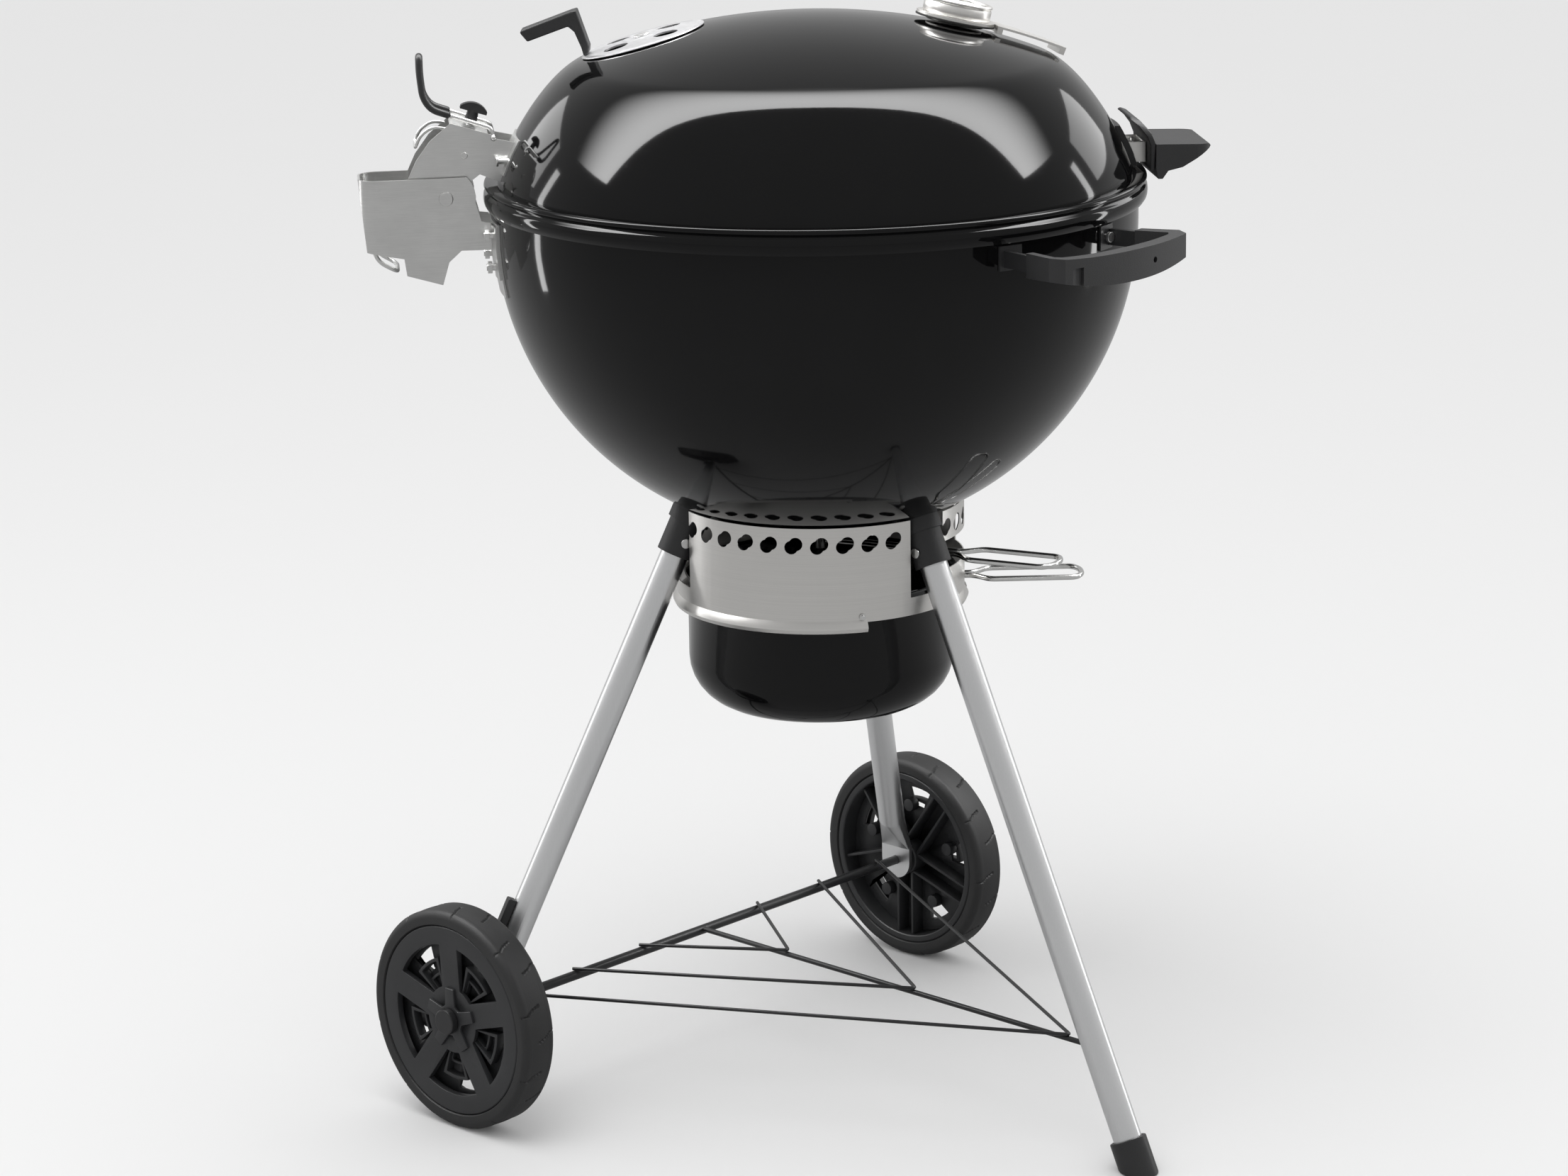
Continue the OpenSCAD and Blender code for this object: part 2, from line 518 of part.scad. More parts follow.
housing_end = pivot_s + 76;
housing_side = concat([[bowl_r + 3, rim_z - 52], [bowl_r + 3, rim_z - 28], [bowl_r + 11, rim_z - 27],
    [bowl_r + 13, rim_z - 19]], arc([pivot_s, pivot_z], 26, 190, 135, 4),
    [[pivot_s - 6, pivot_z + 18], [housing_end, pivot_z + 17], [housing_end - 6, pivot_z - 46],
        [pivot_s + 38, pivot_z - 52], [pivot_s + 36, pivot_z - 67], [pivot_s + 5, pivot_z - 76],
        [pivot_s - 1, pivot_z - 56], [pivot_s - 12, pivot_z - 46]]);
corner_r = 16;
module housing_plan(d) translate([0, 0, rim_z - 130]) linear_extrude(200) union() {
    translate([0, -housing_w / 2 + d]) square([housing_end - corner_r - d, housing_w - 2 * d]);
    translate([bowl_r, -housing_w / 2 + corner_r]) square([housing_end - d - bowl_r, housing_w - 2 * corner_r]);
    for (s = [-1, 1]) translate([housing_end - corner_r, s * (housing_w / 2 - corner_r)])
        circle(r = corner_r - d);
}
module hinge_housing() color("#d8d8d8") at_az(hinge_az) difference() {
    union() {
        intersection() {
            difference() {
                housing_plan(0);
                housing_plan(plate_t);
            }
            upright(housing_side, -housing_w, 2 * housing_w);
        }
        difference() {
            bowl_patch(gap + 2 + gap, gap + 4 + gap, rim_z - 76, rim_z - 29, bolt_half);
            translate([0, plate_t - housing_w / 2, 0]) cube([2 * bowl_r, housing_w - 2 * plate_t, 2 * rim_z]);
        }
    }
    along_y(pivot_s, -housing_w, pivot_z, pin_r + fit, 2 * housing_w);
    hinge_bolt_places() along_x(bowl_r - 40, 0, 0, 3 + fit, 60);
}

module hinge_bolts() color("silver") at_az(hinge_az) for (y = [-hinge_bolt_y, hinge_bolt_y], z = hinge_bolt_z)
    let (s = sqrt(pow(bowl_r, 2) - pow(y, 2) - pow(min(z - bowl_cz, 0), 2))) {
        along_x(s - 11, y, z, 3, 23);
        translate([s + 7, y, z]) rotate([0, 90, 0]) cylinder(h = 4, r = 5.5, $fn = 6);
        along_x(s - 12, y, z, 5.5, 5);
    }

module hinge_pin() color("silver") at_az(hinge_az) {
    along_y(pivot_s, -housing_w / 2 - 2, pivot_z, pin_r, housing_w + 4);
    for (s = [0, 1]) mirror([0, s, 0]) along_y(pivot_s, housing_w / 2 + gap, pivot_z, pin_r + 2.2, 2.5);
}

spring_turns = 7;
spring_half = bracket_y - 3;
module hinge_spring() color("silver") at_az(hinge_az) translate([pivot_s, 0, pivot_z])
    wire(concat([for (i = [0:spring_turns * 10]) let (a = -90 + 36 * i)
        [(pin_r + 3.5) * cos(a), -spring_half + 2 * spring_half * i / (spring_turns * 10), (pin_r + 3.5) * sin(a)]],
        [[12, spring_half, -pin_r - 3.5], [30, spring_half, -14], [58, spring_half, -20]]), 1.2, 6);

module housing_wire() color("silver") at_az(hinge_az) wire(rounded([
    [pivot_s + 66, -housing_w / 2 + plate_t + 4, pivot_z - 34], [pivot_s + 62, -housing_w / 2 + plate_t + 4, pivot_z - 54],
    [pivot_s + 44, -housing_w / 2 + plate_t + 4, pivot_z - 64], [pivot_s + 44, housing_w / 2 - plate_t - 4, pivot_z - 64],
    [pivot_s + 62, housing_w / 2 - plate_t - 4, pivot_z - 54],
    [pivot_s + 66, housing_w / 2 - plate_t - 4, pivot_z - 34]], 7), 1.8);

// ---- Lid ----
lid_bolt_y = 30;
lid_rivet_z = rim_z + 26;
handle_bolt_y = 13;
handle_bolt_z = rim_z + 20;
probe_reach = 126;
probe_az = handle_az + 4;
damper_az = hinge_az - 7;
damper_holes = 32;
skirt = [[5.2, 1.0], [7, 0], [7.3, -2], [5.6, -4], [4.6, -5.6], [5.6, -7.2], [7.6, -9], [8, -13], [7, -18], [5, -21]];

module damper_cut() {
    for (k = [0:3]) rotate([0, 0, 45 + 90 * k]) translate([damper_holes, 0, -20]) cylinder(h = 40, r = vent_hole_r);
    translate([0, 0, -20]) cylinder(h = 40, r = shaft_r + fit);
}

module lid() color("black") difference() {
    on_axis() rotate_extrude($fn = 180) polygon(concat(lid_line(0),
        [for (p = skirt) [bowl_r + p[0], step_z + p[1]]],
        [for (p = back(skirt)) [bowl_r + p[0] - steel_t, step_z + p[1] - (p[1] > -1 ? steel_t : 0)]],
        back(lid_line(-steel_t))));
    on_crown(damper_reach, damper_az) damper_cut();
    on_crown(probe_reach, probe_az) translate([0, 0, -20]) cylinder(h = 40, r = 3.2);
    at_az(handle_az) for (y = [-handle_bolt_y, handle_bolt_y])
        along_x(bowl_r - 40, y, handle_bolt_z, 2.5 + fit, 60);
    at_az(hinge_az) for (y = [-lid_bolt_y, lid_bolt_y]) along_x(bowl_r - 60, y, lid_rivet_z, 2.5 + fit, 80);
}

// Side plate of the lid bracket, from the lid's wall round the hinge pin
bracket_side = [for (p = [[-66, 46], [-43, 51], [-40.5, 54.5], [-5.5, 65], [12.5, 50], [25, 33], [32, 18],
    [30, 2], [20, -11], [7, -17], [-8, -15], [-17, -3], [-22, 14], [-30, 20], [-50, 12], [-66, 12]])
    [pivot_s + p[0], pivot_z + p[1]]];
flange_half = asin((lid_bolt_y + 8) / lid_r);
module lid_clear(d) on_axis() intersection() {
    rotate_extrude($fn = 180) polygon(concat(lid_line(d), [[0, step_z]]));
    translate([-2 * bowl_r, -2 * bowl_r, step_z + 0.1]) cube([4 * bowl_r, 4 * bowl_r, 400]);
}
module lid_bracket() color("#d8d8d8") difference() {
    at_az(hinge_az) union() {
        for (y = [-bracket_y - plate_t, bracket_y]) upright(bracket_side, y, plate_t);
        translate([pivot_s - 37.5, -bracket_y - plate_t, pivot_z + 53.4]) rotate([0, -web_slope, 0])
            cube([34, 2 * (bracket_y + plate_t), plate_t]);
        lid_patch(gap, gap + 1.8, rim_z + 14, rim_z + 44, flange_half);
    }
    lid_clear(gap);
    at_az(hinge_az) {
        along_y(pivot_s, -housing_w, pivot_z, pin_r + fit, 2 * housing_w);
        for (y = [-lid_bolt_y, lid_bolt_y]) along_x(bowl_r - 60, y, lid_rivet_z, 2.5 + fit, 80);
        translate([knob_s, 0, knob_z]) rotate([0, -web_slope, 0]) translate([0, 0, -20])
            cylinder(h = 40, r = 3 + fit);
        along_y(lever_pivot[0], -housing_w, lever_pivot[1], lever_wire + 0.4, 2 * housing_w);
    }
}

module bracket_rivets() color("silver") at_az(hinge_az) {
    for (y = [-lid_bolt_y, lid_bolt_y]) let (s = lid_wall(lid_rivet_z, y),
        s_in = lid_wall(lid_rivet_z + 4.5, y) - 6.4) {
        along_x(s_in + 0.5, y, lid_rivet_z, 2.5, s + 9.9 - s_in);
        along_x(s + 9.4, y, lid_rivet_z, 4.5, 2.2);
        along_x(s_in, y, lid_rivet_z, 4.5, 4);
    }
    for (s = [0, 1]) mirror([0, s, 0])
        along_y(pivot_s - 17, bracket_y + plate_t + gap, pivot_z + 37, 3, 1.2);
}

module stop_wire() color("silver") at_az(hinge_az) wire(rounded([
    [pivot_s - 2, -bracket_y + 4, pivot_z + 60], [pivot_s + 10, -bracket_y + 4, pivot_z + 62],
    [pivot_s + 21, -bracket_y + 4, pivot_z + 54], [pivot_s + 25, -bracket_y + 4, pivot_z + 44],
    [pivot_s + 25, bracket_y - 4, pivot_z + 44], [pivot_s + 21, bracket_y - 4, pivot_z + 54],
    [pivot_s + 10, bracket_y - 4, pivot_z + 62], [pivot_s - 2, bracket_y - 4, pivot_z + 60]], 4), 1.5);

// Half of the hairpin lever, from its pivot eye in the bracket to its grip
lever_run = [for (p = [[0, bracket_y + 0.6, 0], [0, bracket_y - 5, 0], [2, lever_y, 8], [37, lever_y, 20],
    [53, lever_y, 25.5], [60, lever_y - 2, 34]]) [lever_pivot[0] + p[0], p[1], lever_pivot[1] + p[2]]];
grip_run = [for (p = [[37, lever_y, 20], [53, lever_y, 25.5], [60, lever_y - 2, 36], [62, lever_y - 8, 56],
    [62, 4, 70]]) [lever_pivot[0] + p[0], p[1], lever_pivot[1] + p[2]]];
module release_lever() color("silver") at_az(hinge_az) for (s = [0, 1]) mirror([0, s, 0])
    wire(rounded([for (i = [0:3]) lever_run[i]], 3), lever_wire);
module lever_grip() color("#202020") at_az(hinge_az)
    wire(rounded(concat(grip_run, mirrored(grip_run)), 5), 3.2);

module knob_frame() at_az(hinge_az) translate([knob_s, 0, knob_z]) rotate([0, -web_slope, 0]) children();
module clamp_knob() color("#181818") knob_frame() difference() {
    union() {
        translate([0, 0, 1]) cylinder(h = 12, r1 = 6, r2 = 4.8);
        translate([0, 0, 12]) intersection() {
            translate([-12, -4.5, 0]) cube([24, 9, 8]);
            along_y(0, -5, -8, 16, 10);
        }
    }
    translate([0, 0, -1]) cylinder(h = 12, r = 3 + fit);
}
module knob_stud() color("silver") knob_frame() {
    translate([0, 0, -9]) cylinder(h = 19, r = 3);
    translate([0, 0, -9.5]) cylinder(h = 4.5, r = 5.5, $fn = 6);
}

// ---- Lid handle ----
grip_s = bowl_r + 12;
grip_z = rim_z + 26;
module lid_handle_grip() color("#202020") at_az(handle_az) intersection() {
    upright([for (p = [[0, 0], [48, -1], [51, -4], [36, -14], [24, -21], [11, -24], [6, -31], [2, -31],
        [0, -22]]) [grip_s + p[0], grip_z + p[1]]], -lid_handle_w / 2, lid_handle_w);
    translate([grip_s, 0, grip_z - 40]) linear_extrude(60) polygon(concat(
        [[0, -lid_handle_w / 2]], arc([37, -lid_handle_w / 2 + 14], 14, -90, 0, 5),
        arc([37, lid_handle_w / 2 - 14], 14, 0, 90, 5), [[0, lid_handle_w / 2]]));
}

shield = [for (p = [[-0.2, -24], [-0.2, 0], [-4, 10], [-13, 20], [-20, 23], [-21, 20.5], [-15, 16], [-8, 7],
    [-4.5, -2], [-4.2, -24]]) [grip_s + p[0], grip_z + p[1]]];
module lid_handle_shield() color("#202020") at_az(handle_az) intersection() {
    upright(shield, -lid_handle_w / 2, lid_handle_w);
    rotate([90, 0, 90]) linear_extrude(2 * bowl_r) polygon(concat([[-40, grip_z - 26]],
        [[40, grip_z - 26]], arc([lid_handle_w / 2 - 20, grip_z + 3], 20, 0, 90, 6),
        arc([20 - lid_handle_w / 2, grip_z + 3], 20, 90, 180, 6)));
}

strap_half = 22;
strap_low = grip_z - 19;
module lid_handle_strap() color("silver") difference() {
    at_az(handle_az) translate([0, 0, strap_low]) linear_extrude(18) difference() {
        translate([bowl_r - 24, -strap_half]) square([grip_s - 5.1 - gap - bowl_r + 24, 2 * strap_half]);
        translate([bowl_r - 24, -strap_half + 1.5]) square([grip_s - 6.6 - gap - bowl_r + 24, 2 * strap_half - 3]);
    }
    lid_clear(5.2);
}

base_half = asin(24 / lid_r);
module lid_handle_base() color("#181818") at_az(handle_az) difference() {
    lid_patch(gap, 5, rim_z + 4, rim_z + 40, base_half);
    for (y = [-handle_bolt_y, handle_bolt_y]) along_x(bowl_r - 40, y, handle_bolt_z, 2.5 + fit, 60);
}

handle_bolt_s = lid_wall(handle_bolt_z, handle_bolt_y);
handle_bolt_in = lid_wall(handle_bolt_z + 5, handle_bolt_y) - 7.3;
module lid_handle_bolts() color("silver") at_az(handle_az) for (y = [-handle_bolt_y, handle_bolt_y]) {
    along_x(handle_bolt_in - 1, y, handle_bolt_z, 2.5, handle_bolt_s + 11.5 - handle_bolt_in);
    along_x(handle_bolt_s + 10.1, y, handle_bolt_z, 4, 2.6);
    along_x(handle_bolt_in, y, handle_bolt_z, 5, 5);
}

// ---- Damper on the lid ----
disc_t = 1.5;
module damper_disc() color("#e8e8e8") on_crown(damper_reach, damper_az) difference() {
    rotate_extrude($fn = 120) polygon(concat(
        arc([0, -crown_r], crown_r + move_gap, 90, 90 - asin(damper_r / crown_r), 8),
        arc([0, -crown_r], crown_r + move_gap + disc_t, 90 - asin(damper_r / crown_r), 90, 8)));
    damper_cut();
}

damper_drop = crown_r - sqrt(pow(crown_r, 2) - pow(damper_r, 2));
module damper_handle() color("#202020") on_crown(damper_reach, damper_az)
    upright([for (p = [[-5, 2.6], [0, 1.6], [0, 9], [2, 24], [6, 30], [44, 27], [48, 36], [47, 38], [0, 42],
        [-5, 42], [-7, 8]]) [damper_r - 3 + p[0], p[1] - damper_drop + 1.2]], -11, 22);

module damper_rivet() color("silver") on_crown(damper_reach, damper_az) {
    translate([0, 0, -steel_t - 2.5]) cylinder(h = steel_t + move_gap + disc_t + 3.5, r = shaft_r);
    translate([0, 0, move_gap + disc_t + 0.4]) cylinder(h = 1.6, r = 7);
    translate([0, 0, -steel_t - 2.6]) cylinder(h = 2, r = 7);
}

// ---- Thermometer beside the lid handle ----
tongue_w = 44;
tongue_a = [3.4, 9.8];
module gauge_holder() color("#c8c8c8") on_crown(probe_reach, probe_az) difference() {
    union() {
        translate([0, 0, 5]) cylinder(h = 2.5, r = gauge_r + 4.5);
        upright(concat(arc([0, -crown_r], crown_r + 8.5, 90 - tongue_a[0], 90 - tongue_a[1], 8),
            arc([0, -crown_r], crown_r + 1.6, 90 - tongue_a[1], 90 - tongue_a[0], 8)), -tongue_w / 2, tongue_w);
    }
    upright(concat(arc([0, -crown_r], crown_r + 6.6, 90 - tongue_a[0] - 0.5, 90 - tongue_a[1] + 0.5, 8),
        arc([0, -crown_r], crown_r - 3, 90 - tongue_a[1] + 0.5, 90 - tongue_a[0] - 0.5, 8)),
        -tongue_w, 2 * tongue_w);
    translate([0, 0, -2]) cylinder(h = 6.9, r = gauge_r + 6);
    translate([0, 0, -2]) cylinder(h = 20, r = gauge_r - 5 + fit);
    translate([0, 0, 7.5]) cylinder(h = 20, r = gauge_r + 0.5);
}
module gauge_gasket() color("#101010") on_crown(probe_reach, probe_az) difference() {
    translate([0, 0, 3.2]) cylinder(h = 1.6, r = gauge_r + 5);
    translate([0, 0, -2]) cylinder(h = 20, r = gauge_r - 5 + fit);
}
module gauge_case() color("#d0d0d0") on_crown(probe_reach, probe_az) difference() {
    union() {
        translate([0, 0, 1]) cylinder(h = 8, r = gauge_r - 5);
        translate([0, 0, 7.6]) cylinder(h = 14.4, r = gauge_r);
    }
    translate([0, 0, 10]) cylinder(h = 10.4, r = gauge_r - 1.5);
    translate([0, 0, 10]) cylinder(h = 20, r = gauge_r - 4);
    translate([0, 0, -5]) cylinder(h = 30, r = 2 + fit);
}
module gauge_dial() color("white") on_crown(probe_reach, probe_az) difference() {
    translate([0, 0, 10 + gap]) cylinder(h = 0.8, r = gauge_r - 2);
    cylinder(h = 20, r = 2 + fit);
}
module gauge_pointer() color("red") on_crown(probe_reach, probe_az) translate([0, 0, 13]) {
    cylinder(h = 1.6, r = 3);
    linear_extrude(0.8) polygon([[-9, -1.6], [gauge_r - 9, 0], [-9, 1.6]]);
}
module gauge_lens() color("lightcyan") on_crown(probe_reach, probe_az) translate([0, 0, 18])
    cylinder(h = 2, r = gauge_r - 2);
module gauge_probe() color("silver") on_crown(probe_reach, probe_az) {
    translate([0, 0, -62]) cylinder(h = 74.5, r = 2);
    difference() {
        translate([0, 0, -steel_t - 6]) cylinder(h = 5.5, r = 9, $fn = 6);
        translate([0, 0, -20]) cylinder(h = 40, r = 2.4);
    }
}

bowl();
grate_tabs();
cooking_grate();
grate_flap_left();
grate_flap_right();
charcoal_grate();
vent_blades();
vent_shaft();
vent_lever();
ash_collar();
collar_rivet();
ash_pot();
ash_pot_handle();
leg_sockets();
socket_rivets();
leg_front();
leg_left();
leg_right();
foot_cap();
leg_clips();
axle();
axle_caps();
wheel_left();
wheel_right();
tyre_left();
tyre_right();
rack_spine();
rack_wires();
bowl_handle_grip();
bowl_handle_brackets();
bowl_handle_screws();
hinge_plate();
hinge_housing();
hinge_bolts();
hinge_pin();
hinge_spring();
housing_wire();
lid();
lid_bracket();
bracket_rivets();
stop_wire();
release_lever();
lever_grip();
clamp_knob();
knob_stud();
lid_handle_grip();
lid_handle_shield();
lid_handle_strap();
lid_handle_base();
lid_handle_bolts();
damper_disc();
damper_handle();
damper_rivet();
gauge_holder();
gauge_gasket();
gauge_case();
gauge_dial();
gauge_pointer();
gauge_lens();
gauge_probe();
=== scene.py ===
import json
import math

import bmesh
import bpy
from mathutils import Matrix, Vector


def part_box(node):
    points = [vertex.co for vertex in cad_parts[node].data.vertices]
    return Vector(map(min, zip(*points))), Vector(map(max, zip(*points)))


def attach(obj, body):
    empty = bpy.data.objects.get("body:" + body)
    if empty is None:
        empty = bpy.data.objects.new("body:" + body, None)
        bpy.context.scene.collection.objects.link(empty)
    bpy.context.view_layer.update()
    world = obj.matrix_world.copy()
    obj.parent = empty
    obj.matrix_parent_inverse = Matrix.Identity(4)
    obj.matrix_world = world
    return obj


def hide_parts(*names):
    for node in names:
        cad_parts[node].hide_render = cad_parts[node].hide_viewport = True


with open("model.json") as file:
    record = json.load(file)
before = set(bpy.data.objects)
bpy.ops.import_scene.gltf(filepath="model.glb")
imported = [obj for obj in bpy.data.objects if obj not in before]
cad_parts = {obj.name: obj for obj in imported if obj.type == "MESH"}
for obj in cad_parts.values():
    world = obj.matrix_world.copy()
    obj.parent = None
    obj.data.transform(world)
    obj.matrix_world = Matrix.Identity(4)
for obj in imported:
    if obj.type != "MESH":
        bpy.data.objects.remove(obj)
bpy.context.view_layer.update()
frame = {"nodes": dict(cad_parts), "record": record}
nodes = frame["nodes"]
potLow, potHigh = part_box("ash_pot")
axleLow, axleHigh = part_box("axle")
wheelX = (axleLow.x + axleHigh.x) * 500
wheelZ = (axleLow.z + axleHigh.z) * 500
axisX = (potLow.x + potHigh.x) / 2 * 1000  # the kettle's axis, in mm; all sizes below are mm
print("frame loaded,", len(nodes), "CAD nodes, kettle axis at", round(axisX, 1))


# ---- shader maths ----
class Sock:
    def __init__(self, out, tree):
        self.out, self.tree = out, tree

    def math(self, operation, a, b=0.0):
        return self.tree.add("ShaderNodeMath", {"operation": operation}, {0: a, 1: b})

    def __add__(self, other): return self.math("ADD", self, other)
    def __radd__(self, other): return self.math("ADD", other, self)
    def __sub__(self, other): return self.math("SUBTRACT", self, other)
    def __rsub__(self, other): return self.math("SUBTRACT", other, self)
    def __mul__(self, other): return self.math("MULTIPLY", self, other)
    def __rmul__(self, other): return self.math("MULTIPLY", other, self)
    def __truediv__(self, other): return self.math("DIVIDE", self, other)
    def __rtruediv__(self, other): return self.math("DIVIDE", other, self)
    def __pow__(self, other): return self.math("POWER", self, other)
    def __gt__(self, other): return self.math("GREATER_THAN", self, other)
    def __lt__(self, other): return self.math("LESS_THAN", self, other)


class Shader:
    def __init__(self, name, color, metallic=0.0, **fixed):
        self.material = bpy.data.materials.new(name)
        self.material.use_nodes = True
        self.nodes = self.material.node_tree.nodes
        self.links = self.material.node_tree.links
        self.nodes.clear()
        self.output = self.nodes.new("ShaderNodeOutputMaterial")
        self.bsdf = self.nodes.new("ShaderNodeBsdfPrincipled")
        self.links.new(self.bsdf.outputs[0], self.output.inputs[0])
        self.bsdf.inputs["Base Color"].default_value = (*color, 1)
        self.bsdf.inputs["Metallic"].default_value = metallic
        for key, value in fixed.items():
            self.bsdf.inputs[key.replace("_", " ")].default_value = value
        self.position = self.add("ShaderNodeTexCoord", {}, {}, "Object")

    def add(self, kind, settings, values, wanted=0):
        node = self.nodes.new(kind)
        for key, value in settings.items():
            if key == "stops":
                ramp = node.color_ramp
                while len(ramp.elements) < len(value):
                    ramp.elements.new(0.5)
                for element, (place, color) in zip(ramp.elements, value):
                    element.position, element.color = place, (*color, 1)
            else:
                setattr(node, key, value)
        for key, value in values.items():
            if isinstance(value, Sock):
                self.links.new(value.out, node.inputs[key])
            else:
                node.inputs[key].default_value = value
        return Sock(node.outputs[wanted], self)

    def stretched(self, scale, turn=(0, 0, 0)):
        return self.add("ShaderNodeMapping", {}, {"Vector": self.position, "Scale": scale, "Rotation": turn})

    def noise(self, scale, detail=2.0, rough=0.5, vector=None):
        return self.add("ShaderNodeTexNoise", {}, {"Vector": vector or self.position, "Scale": scale,
                        "Detail": detail, "Roughness": rough})

    def feed(self, socket, value):
        self.links.new(value.out, self.bsdf.inputs[socket])

    def ramp(self, fac, stops):
        return self.add("ShaderNodeValToRGB", {"stops": stops}, {"Fac": fac})

    def bump(self, height, strength, distance=0.001):
        self.feed("Normal", self.add("ShaderNodeBump", {}, {"Height": height, "Strength": strength,
                                     "Distance": distance}))


enamelFinish = {"color": (0.0026, 0.0026, 0.0028), "low": (0.0018, 0.0018, 0.0019),
                "high": (0.005, 0.005, 0.0054), "ripple": 0.05, "roughness": 0.055}


def makeEnamel():
    s = Shader("glossEnamel", enamelFinish["color"], Coat_Roughness=0.03, Coat_IOR=1.5, Specular_IOR_Level=0.16)
    cloud = s.noise(9, 3)
    fine = s.noise(420, 2)
    s.feed("Roughness", enamelFinish["roughness"] + cloud * 0.03 + (fine > 0.7) * 0.05)
    s.feed("Base Color", s.ramp(s.noise(700, 1) * 0.5 + cloud * 0.5, [(0.0, enamelFinish["low"]),
           (0.55, enamelFinish["color"]), (1.0, enamelFinish["high"])]))
    s.feed("Coat Weight", 0.1 + cloud * 0.06)
    s.bump(s.noise(55, 2) * 0.7 + fine * 0.1, enamelFinish["ripple"], 0.0006)
    return s.material


def makeMetal(name, color, rough, grain, turn=(0, 0, 0), spread=0.1, bump=0.12, tint=0.08):
    s = Shader(name, color, 1.0)
    lines = s.noise(1, 3, 0.6, s.stretched(grain, turn))
    wide = s.noise(14, 3)
    s.feed("Roughness", rough - spread / 2 + lines * spread + wide * 0.06)
    low = tuple(c * (1 - tint) for c in color)
    high = tuple(min(1, c * (1 + tint)) for c in color)
    s.feed("Base Color", s.ramp(lines * 0.7 + wide * 0.3, [(0.3, low), (0.5, color), (0.7, high)]))
    s.bump(lines, bump, 0.0002)
    return s.material


def makePlastic(name, color, rough, grain=900, depth=0.18, worn=0.0):
    s = Shader(name, color, 0.0, Specular_IOR_Level=0.45)
    fine = s.noise(grain, 2, 0.55)
    wide = s.noise(22, 3)
    s.feed("Roughness", rough - 0.04 + fine * 0.08 + wide * 0.06)
    s.feed("Base Color", s.ramp(wide * 0.6 + fine * 0.4, [(0.3, tuple(c * 0.75 for c in color)),
           (0.6, color), (0.8, tuple(c * (1.35 + worn) for c in color))]))
    s.bump(fine, depth, 0.0004)
    return s.material


def makePlate(name, color, rough):
    s = Shader(name, color, 1.0)
    streak = s.noise(1, 4, 0.6, s.stretched((60, 60, 1400)))
    wide = s.noise(30, 3)
    s.feed("Roughness", rough + streak * 0.12 + wide * 0.05)
    s.feed("Base Color", s.ramp(streak * 0.5 + wide * 0.5, [(0.3, tuple(c * 0.86 for c in color)), (0.6, color),
           (0.8, tuple(min(1, c * 1.08) for c in color))]))
    s.bump(streak, 0.1, 0.0002)
    return s.material


def makeGlass():
    s = Shader("clearGlass", (0.96, 0.98, 0.98), 0.0, Transmission_Weight=1.0, IOR=1.45)
    s.feed("Roughness", 0.01 + s.noise(60, 2) * 0.03)
    return s.material


looks = {
    "enamel": makeEnamel(),
    "brushed_steel": makeMetal("brushedSteel", (0.70, 0.69, 0.67), 0.30, (5, 5, 1700), spread=0.10, bump=0.07,
                               tint=0.05),
    "chrome_wire": makeMetal("platedWire", (0.70, 0.70, 0.69), 0.17, (120, 120, 120), bump=0.05),
    "dark_wire": makeMetal("bareSteelWire", (0.16, 0.15, 0.14), 0.42, (90, 90, 90), tint=0.25),
    "plated_steel": makePlate("brightPlate", (0.70, 0.70, 0.69), 0.24),
    "aluminium": makeMetal("satinAluminium", (0.76, 0.765, 0.77), 0.30, (1500, 1500, 16), spread=0.05, bump=0.04,
                           tint=0.03),
    "cast_aluminium": makeMetal("castAluminium", (0.80, 0.80, 0.81), 0.30, (260, 260, 260), bump=0.15),
    "black_wire": makePlastic("blackCoat", (0.012, 0.012, 0.013), 0.34, 600, 0.1),
    "black_nylon": makePlastic("grainedNylon", (0.019, 0.019, 0.020), 0.50, 1100, 0.3),
    "black_plastic": makePlastic("blackPlastic", (0.016, 0.016, 0.017), 0.38, 800, 0.12),
    "wheel_plastic": makePlastic("wheelPlastic", (0.021, 0.0215, 0.023), 0.44, 900, 0.2),
    "tyre_plastic": makePlastic("tyrePlastic", (0.016, 0.016, 0.0165), 0.56, 700, 0.3, 0.3),
    "dial_white": makePlastic("dialEnamel", (0.80, 0.80, 0.78), 0.42, 500, 0.03),
    "pointer_red": makePlastic("pointerPaint", (0.55, 0.02, 0.015), 0.4, 500, 0.05),
    "glass": makeGlass(),
    "gasket": makePlastic("gasketRubber", (0.012, 0.012, 0.012), 0.62, 700, 0.25),
}
nodeSlot = {part["node"]: part["material_slot"] for part in frame["record"]["subparts"]}
nodeBody = {n: b for b, members in frame["record"]["behaviour"]["bodies"].items() for n in members}
for name, obj in nodes.items():
    obj.data.materials.clear()
    obj.data.materials.append(looks[nodeSlot[name]])
print("materials made")


# ---- mesh helpers ----
flatRule = {"bend": 0.01, "area": 4e-5, "ratio": 5}  # a large face beside small turned ones counts as a flat


